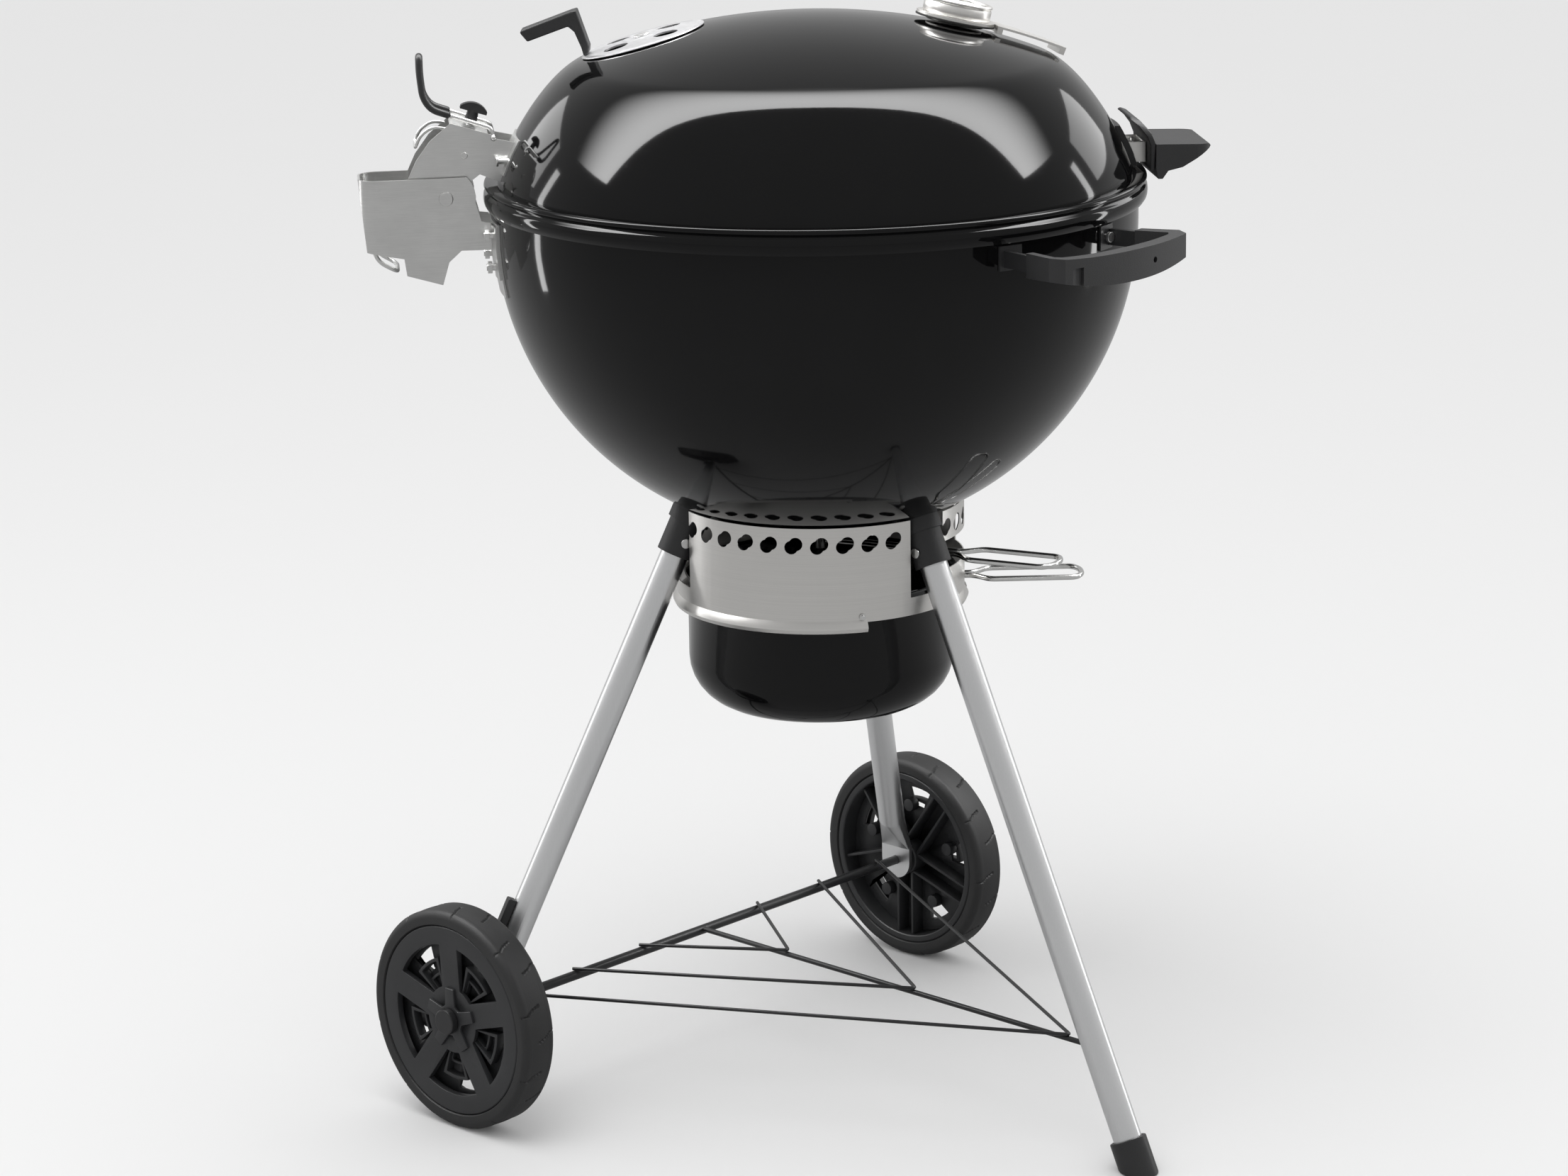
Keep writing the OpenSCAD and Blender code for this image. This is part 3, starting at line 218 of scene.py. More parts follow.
def finishPiece(name, mesh, node, body=None, slot=None, replaces=(), angle=32, flat=False):
    obj = mesh if isinstance(mesh, bpy.types.Object) else bpy.data.objects.new(name, mesh)
    obj.name = name
    if obj.name not in bpy.context.scene.collection.objects:
        bpy.context.scene.collection.objects.link(obj)
    obj.data.materials.clear()
    obj.data.materials.append(looks[slot or nodeSlot[node]])
    obj.data.shade_smooth()
    obj.data.set_sharp_from_angle(angle=math.radians(angle))
    if flat:  # flats keep their own normal, so only the softened edge turns
        work = bmesh.new()
        work.from_mesh(obj.data)
        for edge in work.edges:
            if len(edge.link_faces) == 2 and edge.smooth and edge.calc_face_angle(0) > flatRule["bend"]:
                small, large = sorted(f.calc_area() for f in edge.link_faces)
                if large > flatRule["area"] and large > flatRule["ratio"] * small:
                    edge.smooth = False
        work.to_mesh(obj.data)
        work.free()
        mod = obj.modifiers.new("normals", "WEIGHTED_NORMAL")
        mod.keep_sharp = True
        mod.weight = 100
        depsgraph = bpy.context.evaluated_depsgraph_get()
        obj.data = bpy.data.meshes.new_from_object(obj.evaluated_get(depsgraph), depsgraph=depsgraph)
        obj.modifiers.clear()
    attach(obj, body or nodeBody[node])
    if replaces:
        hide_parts(*replaces)
    return obj


def meshFrom(bm, place=Matrix.Identity(4)):
    bmesh.ops.transform(bm, matrix=Matrix.Scale(0.001, 4) @ place, verts=bm.verts)
    mesh = bpy.data.meshes.new("mesh")
    bm.to_mesh(mesh)
    bm.free()
    return mesh


def azimuth(degrees):
    return Matrix.Translation((axisX, 0, 0)) @ Matrix.Rotation(math.radians(degrees), 4, "Z")


def onCrown(reach, degrees):
    tilt = math.asin(reach / lidShape["crownR"])
    return azimuth(degrees) @ Matrix.Translation((0, 0, lidShape["crownZ"])) @ Matrix.Rotation(tilt, 4, "Y") \
        @ Matrix.Translation((0, 0, lidShape["crownR"]))


def lathe(bm, profile, segments, closed=True):
    rings = []
    for r, z in profile:
        if r < 1e-6:
            rings.append([bm.verts.new((0, 0, z))])
        else:
            turns = [math.tau * k / segments for k in range(segments)]
            rings.append([bm.verts.new((r * math.cos(t), r * math.sin(t), z)) for t in turns])
    pairs = list(zip(rings, rings[1:])) + ([(rings[-1], rings[0])] if closed else [])
    for a, b in pairs:
        for k in range(segments):
            m = (k + 1) % segments
            corners = [a[k % len(a)], a[m % len(a)], b[m % len(b)], b[k % len(b)]]
            unique = list(dict.fromkeys(corners))
            if len(unique) > 2:
                bm.faces.new(unique)
    bmesh.ops.recalc_face_normals(bm, faces=bm.faces)


def latheMesh(profile, segments=192, place=None):
    bm = bmesh.new()
    lathe(bm, profile, segments)
    return meshFrom(bm, place or azimuth(0))


def arc(c, r, start, end, steps):
    return [(c[0] + r * math.cos(math.radians(start + (end - start) * i / steps)),
             c[1] + r * math.sin(math.radians(start + (end - start) * i / steps))) for i in range(steps + 1)]


def roundedPath(points, radius, steps=6):
    path = [Vector(points[0])]
    for a, b, c in zip(points, points[1:], points[2:]):
        a, b, c = Vector(a), Vector(b), Vector(c)
        r = min(radius, (a - b).length * 0.49, (c - b).length * 0.49)
        p, q = b + (a - b).normalized() * r, b + (c - b).normalized() * r
        for i in range(steps + 1):
            u = i / steps
            path.append(p * (1 - u) ** 2 + b * 2 * u * (1 - u) + q * u * u)
    path.append(Vector(points[-1]))
    return [p for i, p in enumerate(path) if i == 0 or (p - path[i - 1]).length > 1e-4]


def tube(bm, path, radius, sides=16, domed=True):
    path = [Vector(p) for p in path]
    last = len(path) - 1
    tangents = [(path[min(i + 1, last)] - path[max(i - 1, 0)]).normalized() for i in range(last + 1)]
    side = tangents[0].orthogonal().normalized()
    stations = [(path[i], tangents[i], 1.0) for i in range(len(path))]
    if domed:
        dome = ((0, 0.55), (0.12, 0.82), (0.4, 0.98))  # how far in, and the share of the radius there
        stations = [(path[0] + tangents[0] * radius * d, tangents[0], s) for d, s in dome] + stations[1:-1] \
            + [(path[-1] - tangents[-1] * radius * d, tangents[-1], s) for d, s in dome[::-1]]
    rings = []
    for point, tangent, scale in stations:
        side = (side - tangent * side.dot(tangent)).normalized()
        other = tangent.cross(side)
        turns = [math.tau * k / sides for k in range(sides)]
        rings.append([bm.verts.new(point + (side * math.cos(t) + other * math.sin(t)) * radius * scale)
                      for t in turns])
    for a, b in zip(rings, rings[1:]):
        for k in range(sides):
            bm.faces.new((a[k], a[(k + 1) % sides], b[(k + 1) % sides], b[k]))
    bm.faces.new(rings[0][::-1])
    bm.faces.new(rings[-1])


def tubesMesh(paths, radius, place, sides=16):
    bm = bmesh.new()
    for path in paths:
        tube(bm, path, radius, sides)
    bmesh.ops.recalc_face_normals(bm, faces=bm.faces)
    return meshFrom(bm, place)


def applied(obj):
    depsgraph = bpy.context.evaluated_depsgraph_get()
    mesh = bpy.data.meshes.new_from_object(obj.evaluated_get(depsgraph))
    bpy.data.objects.remove(obj)
    return mesh


def looseObject(mesh):
    obj = bpy.data.objects.new("work", mesh)
    bpy.context.scene.collection.objects.link(obj)
    return obj


def cutWith(mesh, cutter):
    obj, tool = looseObject(mesh), looseObject(cutter)
    mod = obj.modifiers.new("cut", "BOOLEAN")
    mod.operation, mod.solver, mod.object = "DIFFERENCE", "EXACT", tool
    result = applied(obj)
    bpy.data.objects.remove(tool)
    return result


# A CAD node again with merged points, joined flats and softened edges
def softened(node, width=0.6, segments=2, angle=32, dissolve=0.4):
    bm = bmesh.new()
    bm.from_mesh(nodes[node].data)
    bmesh.ops.remove_doubles(bm, verts=bm.verts, dist=1e-6)
    bmesh.ops.dissolve_limit(bm, angle_limit=math.radians(dissolve), verts=bm.verts, edges=bm.edges)
    mesh = bpy.data.meshes.new(node)
    bm.to_mesh(mesh)
    bm.free()
    if width:
        obj = looseObject(mesh)
        mod = obj.modifiers.new("edge", "BEVEL")
        mod.width, mod.segments, mod.limit_method = width * 0.001, segments, "ANGLE"
        mod.angle_limit = math.radians(angle)
        mod.use_clamp_overlap = True
        mesh = applied(obj)
    parts = node.split("_")
    return finishPiece(parts[0] + "".join(p.title() for p in parts[1:]), mesh, node, replaces=(node,), angle=angle,
                       flat=bool(width))


# ---- bowl and lid ----
bowlShape = {"r": 285, "rim": 841, "wall": 34, "sheet": 1.2, "rimTurn": 6, "lip": 2.2, "segments": 256,
             "vent": {"near": 45, "far": 95, "half": 15}}
lidShape = {"crownR": 572, "crownZ": 412.5, "reach": 206, "r": 279.8, "ledge": 842.6, "rise": 18, "sheet": 1.2,
            "skirt": [(5.2, 1.0), (6.4, 0.4), (7, -0.6), (7.3, -2), (6.6, -3.1), (5.3, -4.2), (4.6, -5.6),
                      (5.0, -6.6), (6.4, -7.8), (7.5, -9.2), (7.88, -13), (7.6, -16), (7, -18), (5, -21)]}


def bowlProfile():
    b = bowlShape
    cz = b["rim"] - b["wall"]
    inner = b["r"] - b["sheet"]
    lip = b["lip"]
    return (arc((0, cz), b["r"], -90, 0, 60)[1:] + [(b["r"], b["rim"] - 4)]
            + arc((b["r"] - lip, b["rim"] - lip), lip, 0, 90, 5)
            + [(b["r"] - b["rimTurn"], b["rim"]), (b["r"] - b["rimTurn"], b["rim"] - b["sheet"]),
               (inner, b["rim"] - b["sheet"])] + arc((0, cz), inner, 0, -90, 60)[:-1])


def lidLine(d):
    s = lidShape
    edge = math.asin(s["reach"] / s["crownR"])
    r = s["crownR"] + d
    p0 = Vector((r * math.sin(edge), s["crownZ"] + r * math.cos(edge)))
    p3 = Vector((s["r"] + d, s["ledge"]))
    out = 0.5 * (s["r"] - s["reach"])
    p1, p2 = p0 + out * Vector((math.cos(edge), -math.sin(edge))), p3 + Vector((0, s["rise"]))
    curve = [p0 * (1 - u) ** 3 + p1 * 3 * u * (1 - u) ** 2 + p2 * 3 * u * u * (1 - u) + p3 * u ** 3
             for u in (i / 28 for i in range(1, 29))]
    return [(r * math.sin(edge * i / 28), s["crownZ"] + r * math.cos(edge * i / 28)) for i in range(29)] \
        + [tuple(p) for p in curve]


def polarCut(bm, r, z0, z1, place, segments=40):
    made = bmesh.ops.create_cone(bm, cap_ends=True, segments=segments, radius1=r, radius2=r, depth=z1 - z0,
                                 matrix=place @ Matrix.Translation((0, 0, (z0 + z1) / 2)))
    return made["verts"]


damperSpot = {"reach": 150, "az": 222, "hole": 11, "holeRing": 32, "rivet": 4.05, "gap": 0.6, "sheet": 1.5}
gaugeSpot = {"reach": 126, "az": 53, "probe": 3.2, "marksZ": 11.12}


def damperHoles():
    d = damperSpot
    bm = bmesh.new()
    for k in range(4):
        spot = onCrown(d["reach"], d["az"]) @ Matrix.Rotation(math.radians(45 + 90 * k), 4, "Z")
        polarCut(bm, d["hole"], -20, 20, spot @ Matrix.Translation((d["holeRing"], 0, 0)))
    return bm


def crownCutters():
    bm = damperHoles()
    polarCut(bm, damperSpot["rivet"], -20, 20, onCrown(damperSpot["reach"], damperSpot["az"]))
    polarCut(bm, gaugeSpot["probe"], -20, 20, onCrown(gaugeSpot["reach"], gaugeSpot["az"]))
    return meshFrom(bm)


def buildKettle():
    bm = bmesh.new()
    lathe(bm, bowlProfile(), bowlShape["segments"])
    low = bowlShape["rim"] - bowlShape["wall"] - bowlShape["r"]
    mesh = meshFrom(bm, azimuth(0))
    cut = bmesh.new()
    for k in range(3):  # the three ash vents in the floor of the bowl
        v = bowlShape["vent"]
        sweep = range(-v["half"], v["half"] + 1, 3)
        ring = [(r * math.cos(math.radians(a)), r * math.sin(math.radians(a)))
                for r, angles in ((v["near"], sweep), (v["far"], sweep[::-1])) for a in angles]
        low3 = [cut.verts.new((x, y, low - 6)) for x, y in ring]
        top3 = [cut.verts.new((x, y, low + 42)) for x, y in ring]
        faces = [cut.faces.new(low3[::-1]), cut.faces.new(top3)]
        for i in range(len(ring)):
            m = (i + 1) % len(ring)
            faces.append(cut.faces.new((low3[i], low3[m], top3[m], top3[i])))
        bmesh.ops.rotate(cut, cent=(0, 0, 0), matrix=Matrix.Rotation(math.radians(60 + 120 * k), 3, "Z"),
                         verts=low3 + top3)
    mesh = cutWith(mesh, meshFrom(cut, azimuth(0)))
    finishPiece("bowlShell", mesh, "bowl", replaces=("bowl",), angle=40)
    s = lidShape
    outer = lidLine(0) + [(bowlShape["r"] + x, s["ledge"] + z) for x, z in s["skirt"]]
    inner = [(bowlShape["r"] + x - s["sheet"], s["ledge"] + z - (s["sheet"] if z > -1 else 0))
             for x, z in s["skirt"][::-1]]
    mesh = latheMesh(outer + inner + lidLine(-s["sheet"])[::-1], 256)
    finishPiece("lidShell", cutWith(mesh, crownCutters()), "lid", replaces=("lid",), angle=48)


buildKettle()
print("bowl and lid made")


# ---- everything the CAD already shapes well, with softened edges ----
softEdges = {"leg_sockets": 0.8, "socket_rivets": 0.5, "leg_left": 0.3, "leg_right": 0.3, "leg_front": 0.3,
             "foot_cap": 1.2, "leg_clips": 1.2, "axle_caps": 1.5, "hinge_plate": 0.3, "hinge_housing": 0.35,
             "hinge_bolts": 0.5, "hinge_pin": 0.8, "lid_bracket": 0.3, "bracket_rivets": 0.6, "clamp_knob": 1.0,
             "knob_stud": 0.4, "lid_handle_grip": 1.6, "lid_handle_shield": 0.9, "lid_handle_strap": 0.2,
             "lid_handle_base": 0.8, "lid_handle_bolts": 0.4, "damper_handle": 1.3, "damper_rivet": 0.5,
             "gauge_gasket": 0.3, "gauge_holder": 0.3, "gauge_probe": 0.3, "bowl_handle_brackets": 0.6,
             "bowl_handle_screws": 0.5, "vent_blades": 0.2, "vent_shaft": 0.5, "grate_tabs": 0.3,
             "collar_rivet": 0.4, "ash_pot": 0, "ash_collar": 0.15, "gauge_lens": 0.3, "gauge_dial": 0,
             "gauge_pointer": 0}
for node, width in softEdges.items():
    softened(node, width)
print("hardware softened")


# ---- bent wires ----
hingeSpot = {"az": 229, "s": 326, "z": 835, "bracketY": 21.5, "housing": 56, "sheet": 2, "pin": 4}
wireSpots = {"ventLever": {"node": "vent_lever", "az": 18, "r": 2.5, "start": 8, "out": 100, "y": 5},
             "ashPotHandle": {"node": "ash_pot_handle", "az": 45, "r": 2.5, "start": 120.1, "out": 106, "y": 4.5}}


def loopPath(start, turn, out, y):
    half = [(start, y, 0), (turn + 8, y, 0), (turn + 22, 20, 0), (turn + out - 6, 20, 0), (turn + out, 8, 0)]
    return roundedPath(half + [(x, -w, z) for x, w, z in half[::-1]], 6)


def mirrorY(points):
    return [(x, -y, z) for x, y, z in points[::-1]]


def wirePiece(name, node, paths, radius, place, sides=16):
    return finishPiece(name, tubesMesh(paths, radius, place, sides), node, replaces=(node,), angle=50)


def buildWires():
    for name, w in wireSpots.items():
        low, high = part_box(w["node"])
        z = (low.z + high.z) * 500
        wirePiece(name, w["node"], [loopPath(w["start"], 130, w["out"], w["y"])], w["r"],
                  azimuth(w["az"]) @ Matrix.Translation((0, 0, z)))
    rackLow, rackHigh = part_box("rack_wires")
    spineLow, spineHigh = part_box("rack_spine")
    rackZ, spineZ = (rackLow.z + rackHigh.z) * 500, (spineLow.z + spineHigh.z) * 500
    backX, frontX = axleLow.x * 1000 + 2.2, rackHigh.x * 1000 - 3
    span = rackHigh.y * 1000 - 1.2
    deep = frontX - backX
    vees = [(frontX, span), (backX + 0.602 * deep, 0.665 * span), (backX + 0.256 * deep, 0.32 * span)]
    bends = [roundedPath([(backX, -w, rackZ), (x, 0, rackZ), (backX, w, rackZ)], 5) for x, w in vees]
    spine = [(spineLow.x * 1000, 0, spineZ), (spineHigh.x * 1000, 0, spineZ)]
    rod = [(wheelX, axleLow.y * 1000, wheelZ), (wheelX, axleHigh.y * 1000, wheelZ)]
    wirePiece("rackWires", "rack_wires", bends, 1.6, Matrix.Identity(4), 12)
    wirePiece("rackSpine", "rack_spine", [spine], 2.5, Matrix.Identity(4))
    wirePiece("axleRod", "axle", [rod], 4.5, Matrix.Identity(4), 32)
    h = hingeSpot
    hinge = azimuth(h["az"])
    pivot = Vector((h["s"] - 43, 0, h["z"] + 51))
    run = [tuple(pivot + Vector(p)) for p in ((0, h["bracketY"] + 0.6, 0), (0, 16.5, 0), (2, 15, 8), (37, 15, 20))]
    wirePiece("releaseLever", "release_lever", [roundedPath(run, 3), roundedPath(mirrorY(run), 3)], 2, hinge)
    bends = ((37, 15, 20), (53, 15, 25.5), (60, 13, 36), (62, 8, 56), (62, 4, 70))
    grip = [tuple(pivot + Vector(p)) for p in bends]
    wirePiece("leverGrip", "lever_grip", [roundedPath(grip + mirrorY(grip), 9)], 3.2, hinge)
    y = h["bracketY"] - 4
    stop = [(h["s"] + x, y, h["z"] + z) for x, z in ((-2, 60), (10, 62), (21, 54), (25, 44))]
    wirePiece("stopWire", "stop_wire", [roundedPath(stop + mirrorY(stop), 6)], 1.5, hinge)
    y = h["housing"] / 2 - h["sheet"] - 4
    loop = [(h["s"] + 66, y, h["z"] - 34), (h["s"] + 62, y, h["z"] - 54), (h["s"] + 44, y, h["z"] - 64)]
    wirePiece("housingWire", "housing_wire", [roundedPath(loop + mirrorY(loop), 9)], 1.8, hinge)
    half, turns = h["bracketY"] - 3, 7
    coil = []
    for i in range(turns * 20 + 1):
        a = math.radians(-90 + 18 * i)
        coil.append((7.5 * math.cos(a), -half + 2 * half * i / (turns * 20), 7.5 * math.sin(a)))
    coil += [(12, half, -7.5), (30, half, -14), (58, half, -20)]
    wirePiece("hingeSpring", "hinge_spring", [coil], 1.2, hinge @ Matrix.Translation((h["s"], 0, h["z"])), 10)


# ---- geometry nodes ----
class Tree:
    def __init__(self, name, inputs):
        self.group = bpy.data.node_groups.new(name, "GeometryNodeTree")
        self.keys = {}
        for label, kind, value in inputs:
            item = self.group.interface.new_socket(label, in_out="INPUT", socket_type=kind)
            if value is not None:
                item.default_value = value
            self.keys[label] = item.identifier
        self.group.interface.new_socket("Geometry", in_out="OUTPUT", socket_type="NodeSocketGeometry")
        self.start = self.group.nodes.new("NodeGroupInput")
        self.end = self.group.nodes.new("NodeGroupOutput")

    def value(self, label):
        return Sock(self.start.outputs[label], self)

    def add(self, kind, settings, values, wanted=0):
        node = self.group.nodes.new(kind)
        for key, setting in settings.items():
            setattr(node, key, setting)
        for key, given in values.items():
            if isinstance(given, Sock):
                self.group.links.new(given.out, node.inputs[key])
            else:
                node.inputs[key].default_value = given
        return Sock(node.outputs[wanted], self)

    def close(self, geometry):
        real = self.add("GeometryNodeRealizeInstances", {}, {"Geometry": geometry})
        done = self.add("GeometryNodeSetMaterial", {}, {"Geometry": real, "Material": self.value("Finish")})
        self.group.links.new(done.out, self.end.inputs[0])


def grown(tree, values):
    host = looseObject(bpy.data.meshes.new("host"))
    mod = host.modifiers.new("grow", "NODES")
    mod.node_group = tree.group
    for label, value in values.items():
        mod[tree.keys[label]] = value
    return applied(host)


def makeBarTree():
    t = Tree("barGrid", [("Count", "NodeSocketInt", 9), ("Pitch", "NodeSocketFloat", 15.0),
                         ("First", "NodeSocketFloat", 0.0), ("Reach", "NodeSocketFloat", 200.0),
                         ("Bar", "NodeSocketFloat", 2.0), ("Finish", "NodeSocketMaterial", None)])
    first = t.add("ShaderNodeCombineXYZ", {}, {"Y": t.value("First")})
    step = t.add("ShaderNodeCombineXYZ", {}, {"Y": t.value("Pitch")})
    line = t.add("GeometryNodeMeshLine", {}, {"Count": t.value("Count"), "Start Location": first, "Offset": step})
    bar = t.add("GeometryNodeMeshCylinder", {}, {"Vertices": 14, "Radius": t.value("Bar"), "Depth": 2.0})
    laid = t.add("GeometryNodeTransform", {}, {"Geometry": bar, "Rotation": (0, math.pi / 2, 0)})
    y = t.add("ShaderNodeSeparateXYZ", {}, {"Vector": t.add("GeometryNodeInputPosition", {}, {})}, "Y")
    half = t.add("ShaderNodeMath", {"operation": "SQRT"}, {0: t.value("Reach") * t.value("Reach") - y * y})
    size = t.add("ShaderNodeCombineXYZ", {}, {"X": half, "Y": 1.0, "Z": 1.0})
    t.close(t.add("GeometryNodeInstanceOnPoints", {}, {"Points": line, "Instance": laid, "Scale": size}))
    return t


def makeMarkTree():
    t = Tree("dialMarks", [("Count", "NodeSocketInt", 31), ("Start", "NodeSocketFloat", -0.6),
                           ("Step", "NodeSocketFloat", 0.14), ("Reach", "NodeSocketFloat", 22.0),
                           ("Long", "NodeSocketFloat", 3.0), ("Wide", "NodeSocketFloat", 0.5),
                           ("High", "NodeSocketFloat", 0.2), ("Finish", "NodeSocketMaterial", None)])
    line = t.add("GeometryNodeMeshLine", {}, {"Count": t.value("Count"), "Offset": (0, 0, 0)})
    angle = t.value("Start") + t.add("GeometryNodeInputIndex", {}, {}) * t.value("Step")
    x = t.add("ShaderNodeMath", {"operation": "COSINE"}, {0: angle}) * t.value("Reach")
    y = t.add("ShaderNodeMath", {"operation": "SINE"}, {0: angle}) * t.value("Reach")
    spot = t.add("ShaderNodeCombineXYZ", {}, {"X": x, "Y": y})
    moved = t.add("GeometryNodeSetPosition", {}, {"Geometry": line, "Position": spot})
    size = t.add("ShaderNodeCombineXYZ", {}, {"X": t.value("Long"), "Y": t.value("Wide"), "Z": t.value("High")})
    mark = t.add("GeometryNodeMeshCube", {}, {"Size": size})
    spin = t.add("ShaderNodeCombineXYZ", {}, {"Z": angle})
    t.close(t.add("GeometryNodeInstanceOnPoints", {}, {"Points": moved, "Instance": mark, "Rotation": spin}))
    return t


barTree, markTree = makeBarTree(), makeMarkTree()


# ---- lid thermometer and damper disc ----
def buildCrownParts():
    g = gaugeSpot
    place = onCrown(g["reach"], g["az"])
    case = [(2.05, 1), (25.2, 1), (25.5, 1.3), (25.5, 7.6), (29.6, 7.6), (30.2, 8.2), (30.2, 17.0), (29.7, 17.5),
            (29.7, 18.3)] + arc((28.5, 20), 1.98, -35, 168, 14) + [(26.8, 20.4), (29, 20.4), (29, 10), (2.05, 10)]
    finishPiece("gaugeCase", latheMesh(case, 96, place), "gauge_case", replaces=("gauge_case",), angle=50)
    marks = bmesh.new()
    for count, step, long, wide in ((51, 5, 2.2, 0.35), (11, 25, 4.2, 0.8)):
        marks.from_mesh(grown(markTree, {"Count": count, "Start": math.radians(-35), "Step": math.radians(step),
                                         "Reach": 26 - long / 2, "Long": long, "Wide": wide, "High": 0.2}))
    finishPiece("dialMarks", meshFrom(marks, place @ Matrix.Translation((0, 0, g["marksZ"]))), "gauge_dial",
                slot="black_plastic")
    d = damperSpot

    def crown(r, lift):
        return (r, math.sqrt((lidShape["crownR"] + lift) ** 2 - r * r) - lidShape["crownR"])

    low, top = d["gap"], d["gap"] + d["sheet"]
    # radius and rise of the top face: a beaded rim and a raised ring
    upper = ((54.5, 0.05), (53.2, 0.45), (52, 0.5), (50.6, 0.35), (49.5, 0), (40, 0), (20, 0), (18.5, 0.15),
             (17, 0.7), (15.5, 0.9), (13, 0.9), (12, 0.6), (11, 0), (4.05, 0))
    disc = [crown(r, low) for r in (4.05, 15, 30, 45, 54.5)] \
        + [crown(55.7, low + 0.2), crown(56, low + 0.75), crown(55.7, top - 0.2)] \
        + [crown(r, top + rise) for r, rise in upper]
    mesh = cutWith(latheMesh(disc, 128, onCrown(d["reach"], d["az"])), meshFrom(damperHoles()))
    finishPiece("damperDisc", mesh, "damper_disc", replaces=("damper_disc",), angle=40)


# ---- bowl handle ----
handleSpot = {"az": 0, "bar": 14, "steps": 28, "rounding": 3.6, "hole": 2.6}


def placedMesh(mesh, place):
    bm = bmesh.new()
    bm.from_mesh(mesh)
    bmesh.ops.scale(bm, vec=(1000, 1000, 1000), verts=bm.verts)
    return meshFrom(bm, place)


def buildBowlHandle():
    h = handleSpot
    low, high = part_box("bowl_handle_grip")
    front, half, foot = high.x * 1000 - axisX, high.y * 1000, low.x * 1000 - axisX
    mid = (low.z + high.z) * 500
    base, top = low.z * 1000 - mid, high.z * 1000 - mid
    across = [2 * i / h["steps"] - 1 for i in range(h["steps"] + 1)]
    outer = [(front - 9 * u * u, half * u) for u in across]
    inner = [(front - h["bar"] - 5 * u * u, 70 * u) for u in across]
    plan = [(foot, -76), (front - 20, -half)] + outer[1:-1] \
        + [(front - 20, half), (foot, 76), (foot, 67), (front - 23, 75)] \
        + inner[::-1] + [(front - 23, -75), (foot, -67)]
    block = bmesh.new()
    prism(block, plan, base - 2, top + 2)
    bmesh.ops.recalc_face_normals(block, faces=block.faces)
    side = bmesh.new()  # what the handle keeps, seen from outside: a bellied underside and a dished top
    span = half + 3
    under = [(span * u, base + 10 * abs(u) ** 2.2) for u in across]
    over = [(span * u, top - 3 + 3 * abs(u) ** 3) for u in across]
    outline = under + over[::-1]
    near = [side.verts.new((foot - 4, y, z)) for y, z in outline]
    far = [side.verts.new((front + 4, y, z)) for y, z in outline]
    side.faces.new(near)
    side.faces.new(far[::-1])
    for i in range(len(outline)):
        m = (i + 1) % len(outline)
        side.faces.new((near[i], far[i], far[m], near[m]))
    bmesh.ops.recalc_face_normals(side, faces=side.faces)
    obj, tool = looseObject(meshFrom(block)), looseObject(meshFrom(side))
    mod = obj.modifiers.new("keep", "BOOLEAN")
    mod.operation, mod.solver, mod.object = "INTERSECT", "EXACT", tool
    mesh = applied(obj)
    bpy.data.objects.remove(tool)
    holes = bmesh.new()
    lay = Matrix.Translation((front - 1, 30, -1)) @ Matrix.Rotation(math.radians(90), 4, "Y")
    polarCut(holes, h["hole"], -4, 4, lay, 24)
    recess = Matrix.Translation((front - 5.4, -66, -3)) @ Matrix.Diagonal((3, 12, 16, 1))
    bmesh.ops.create_cube(holes, size=1, matrix=recess)
    mesh = cutWith(smallBevel(mesh, h["rounding"], 4, 30), meshFrom(holes))
    mesh = placedMesh(mesh, azimuth(h["az"]) @ Matrix.Translation((0, 0, mid)))
    finishPiece("bowlHandleGrip", mesh, "bowl_handle_grip", replaces=("bowl_handle_grip",), angle=40, flat=True)


# ---- grates ----
grateShape = {"ring": 3, "bar": 2, "pitch": 15, "line": 112, "sides": 12, "reach": 261.3}


def halfRing(r, y0, sign):
    a = math.degrees(math.asin(y0 / r))
    turns = [math.radians(a + (180 - 2 * a) * i / 60) for i in range(61)]
    return [Vector((r * math.cos(t), sign * r * math.sin(t), 0)) for t in turns]


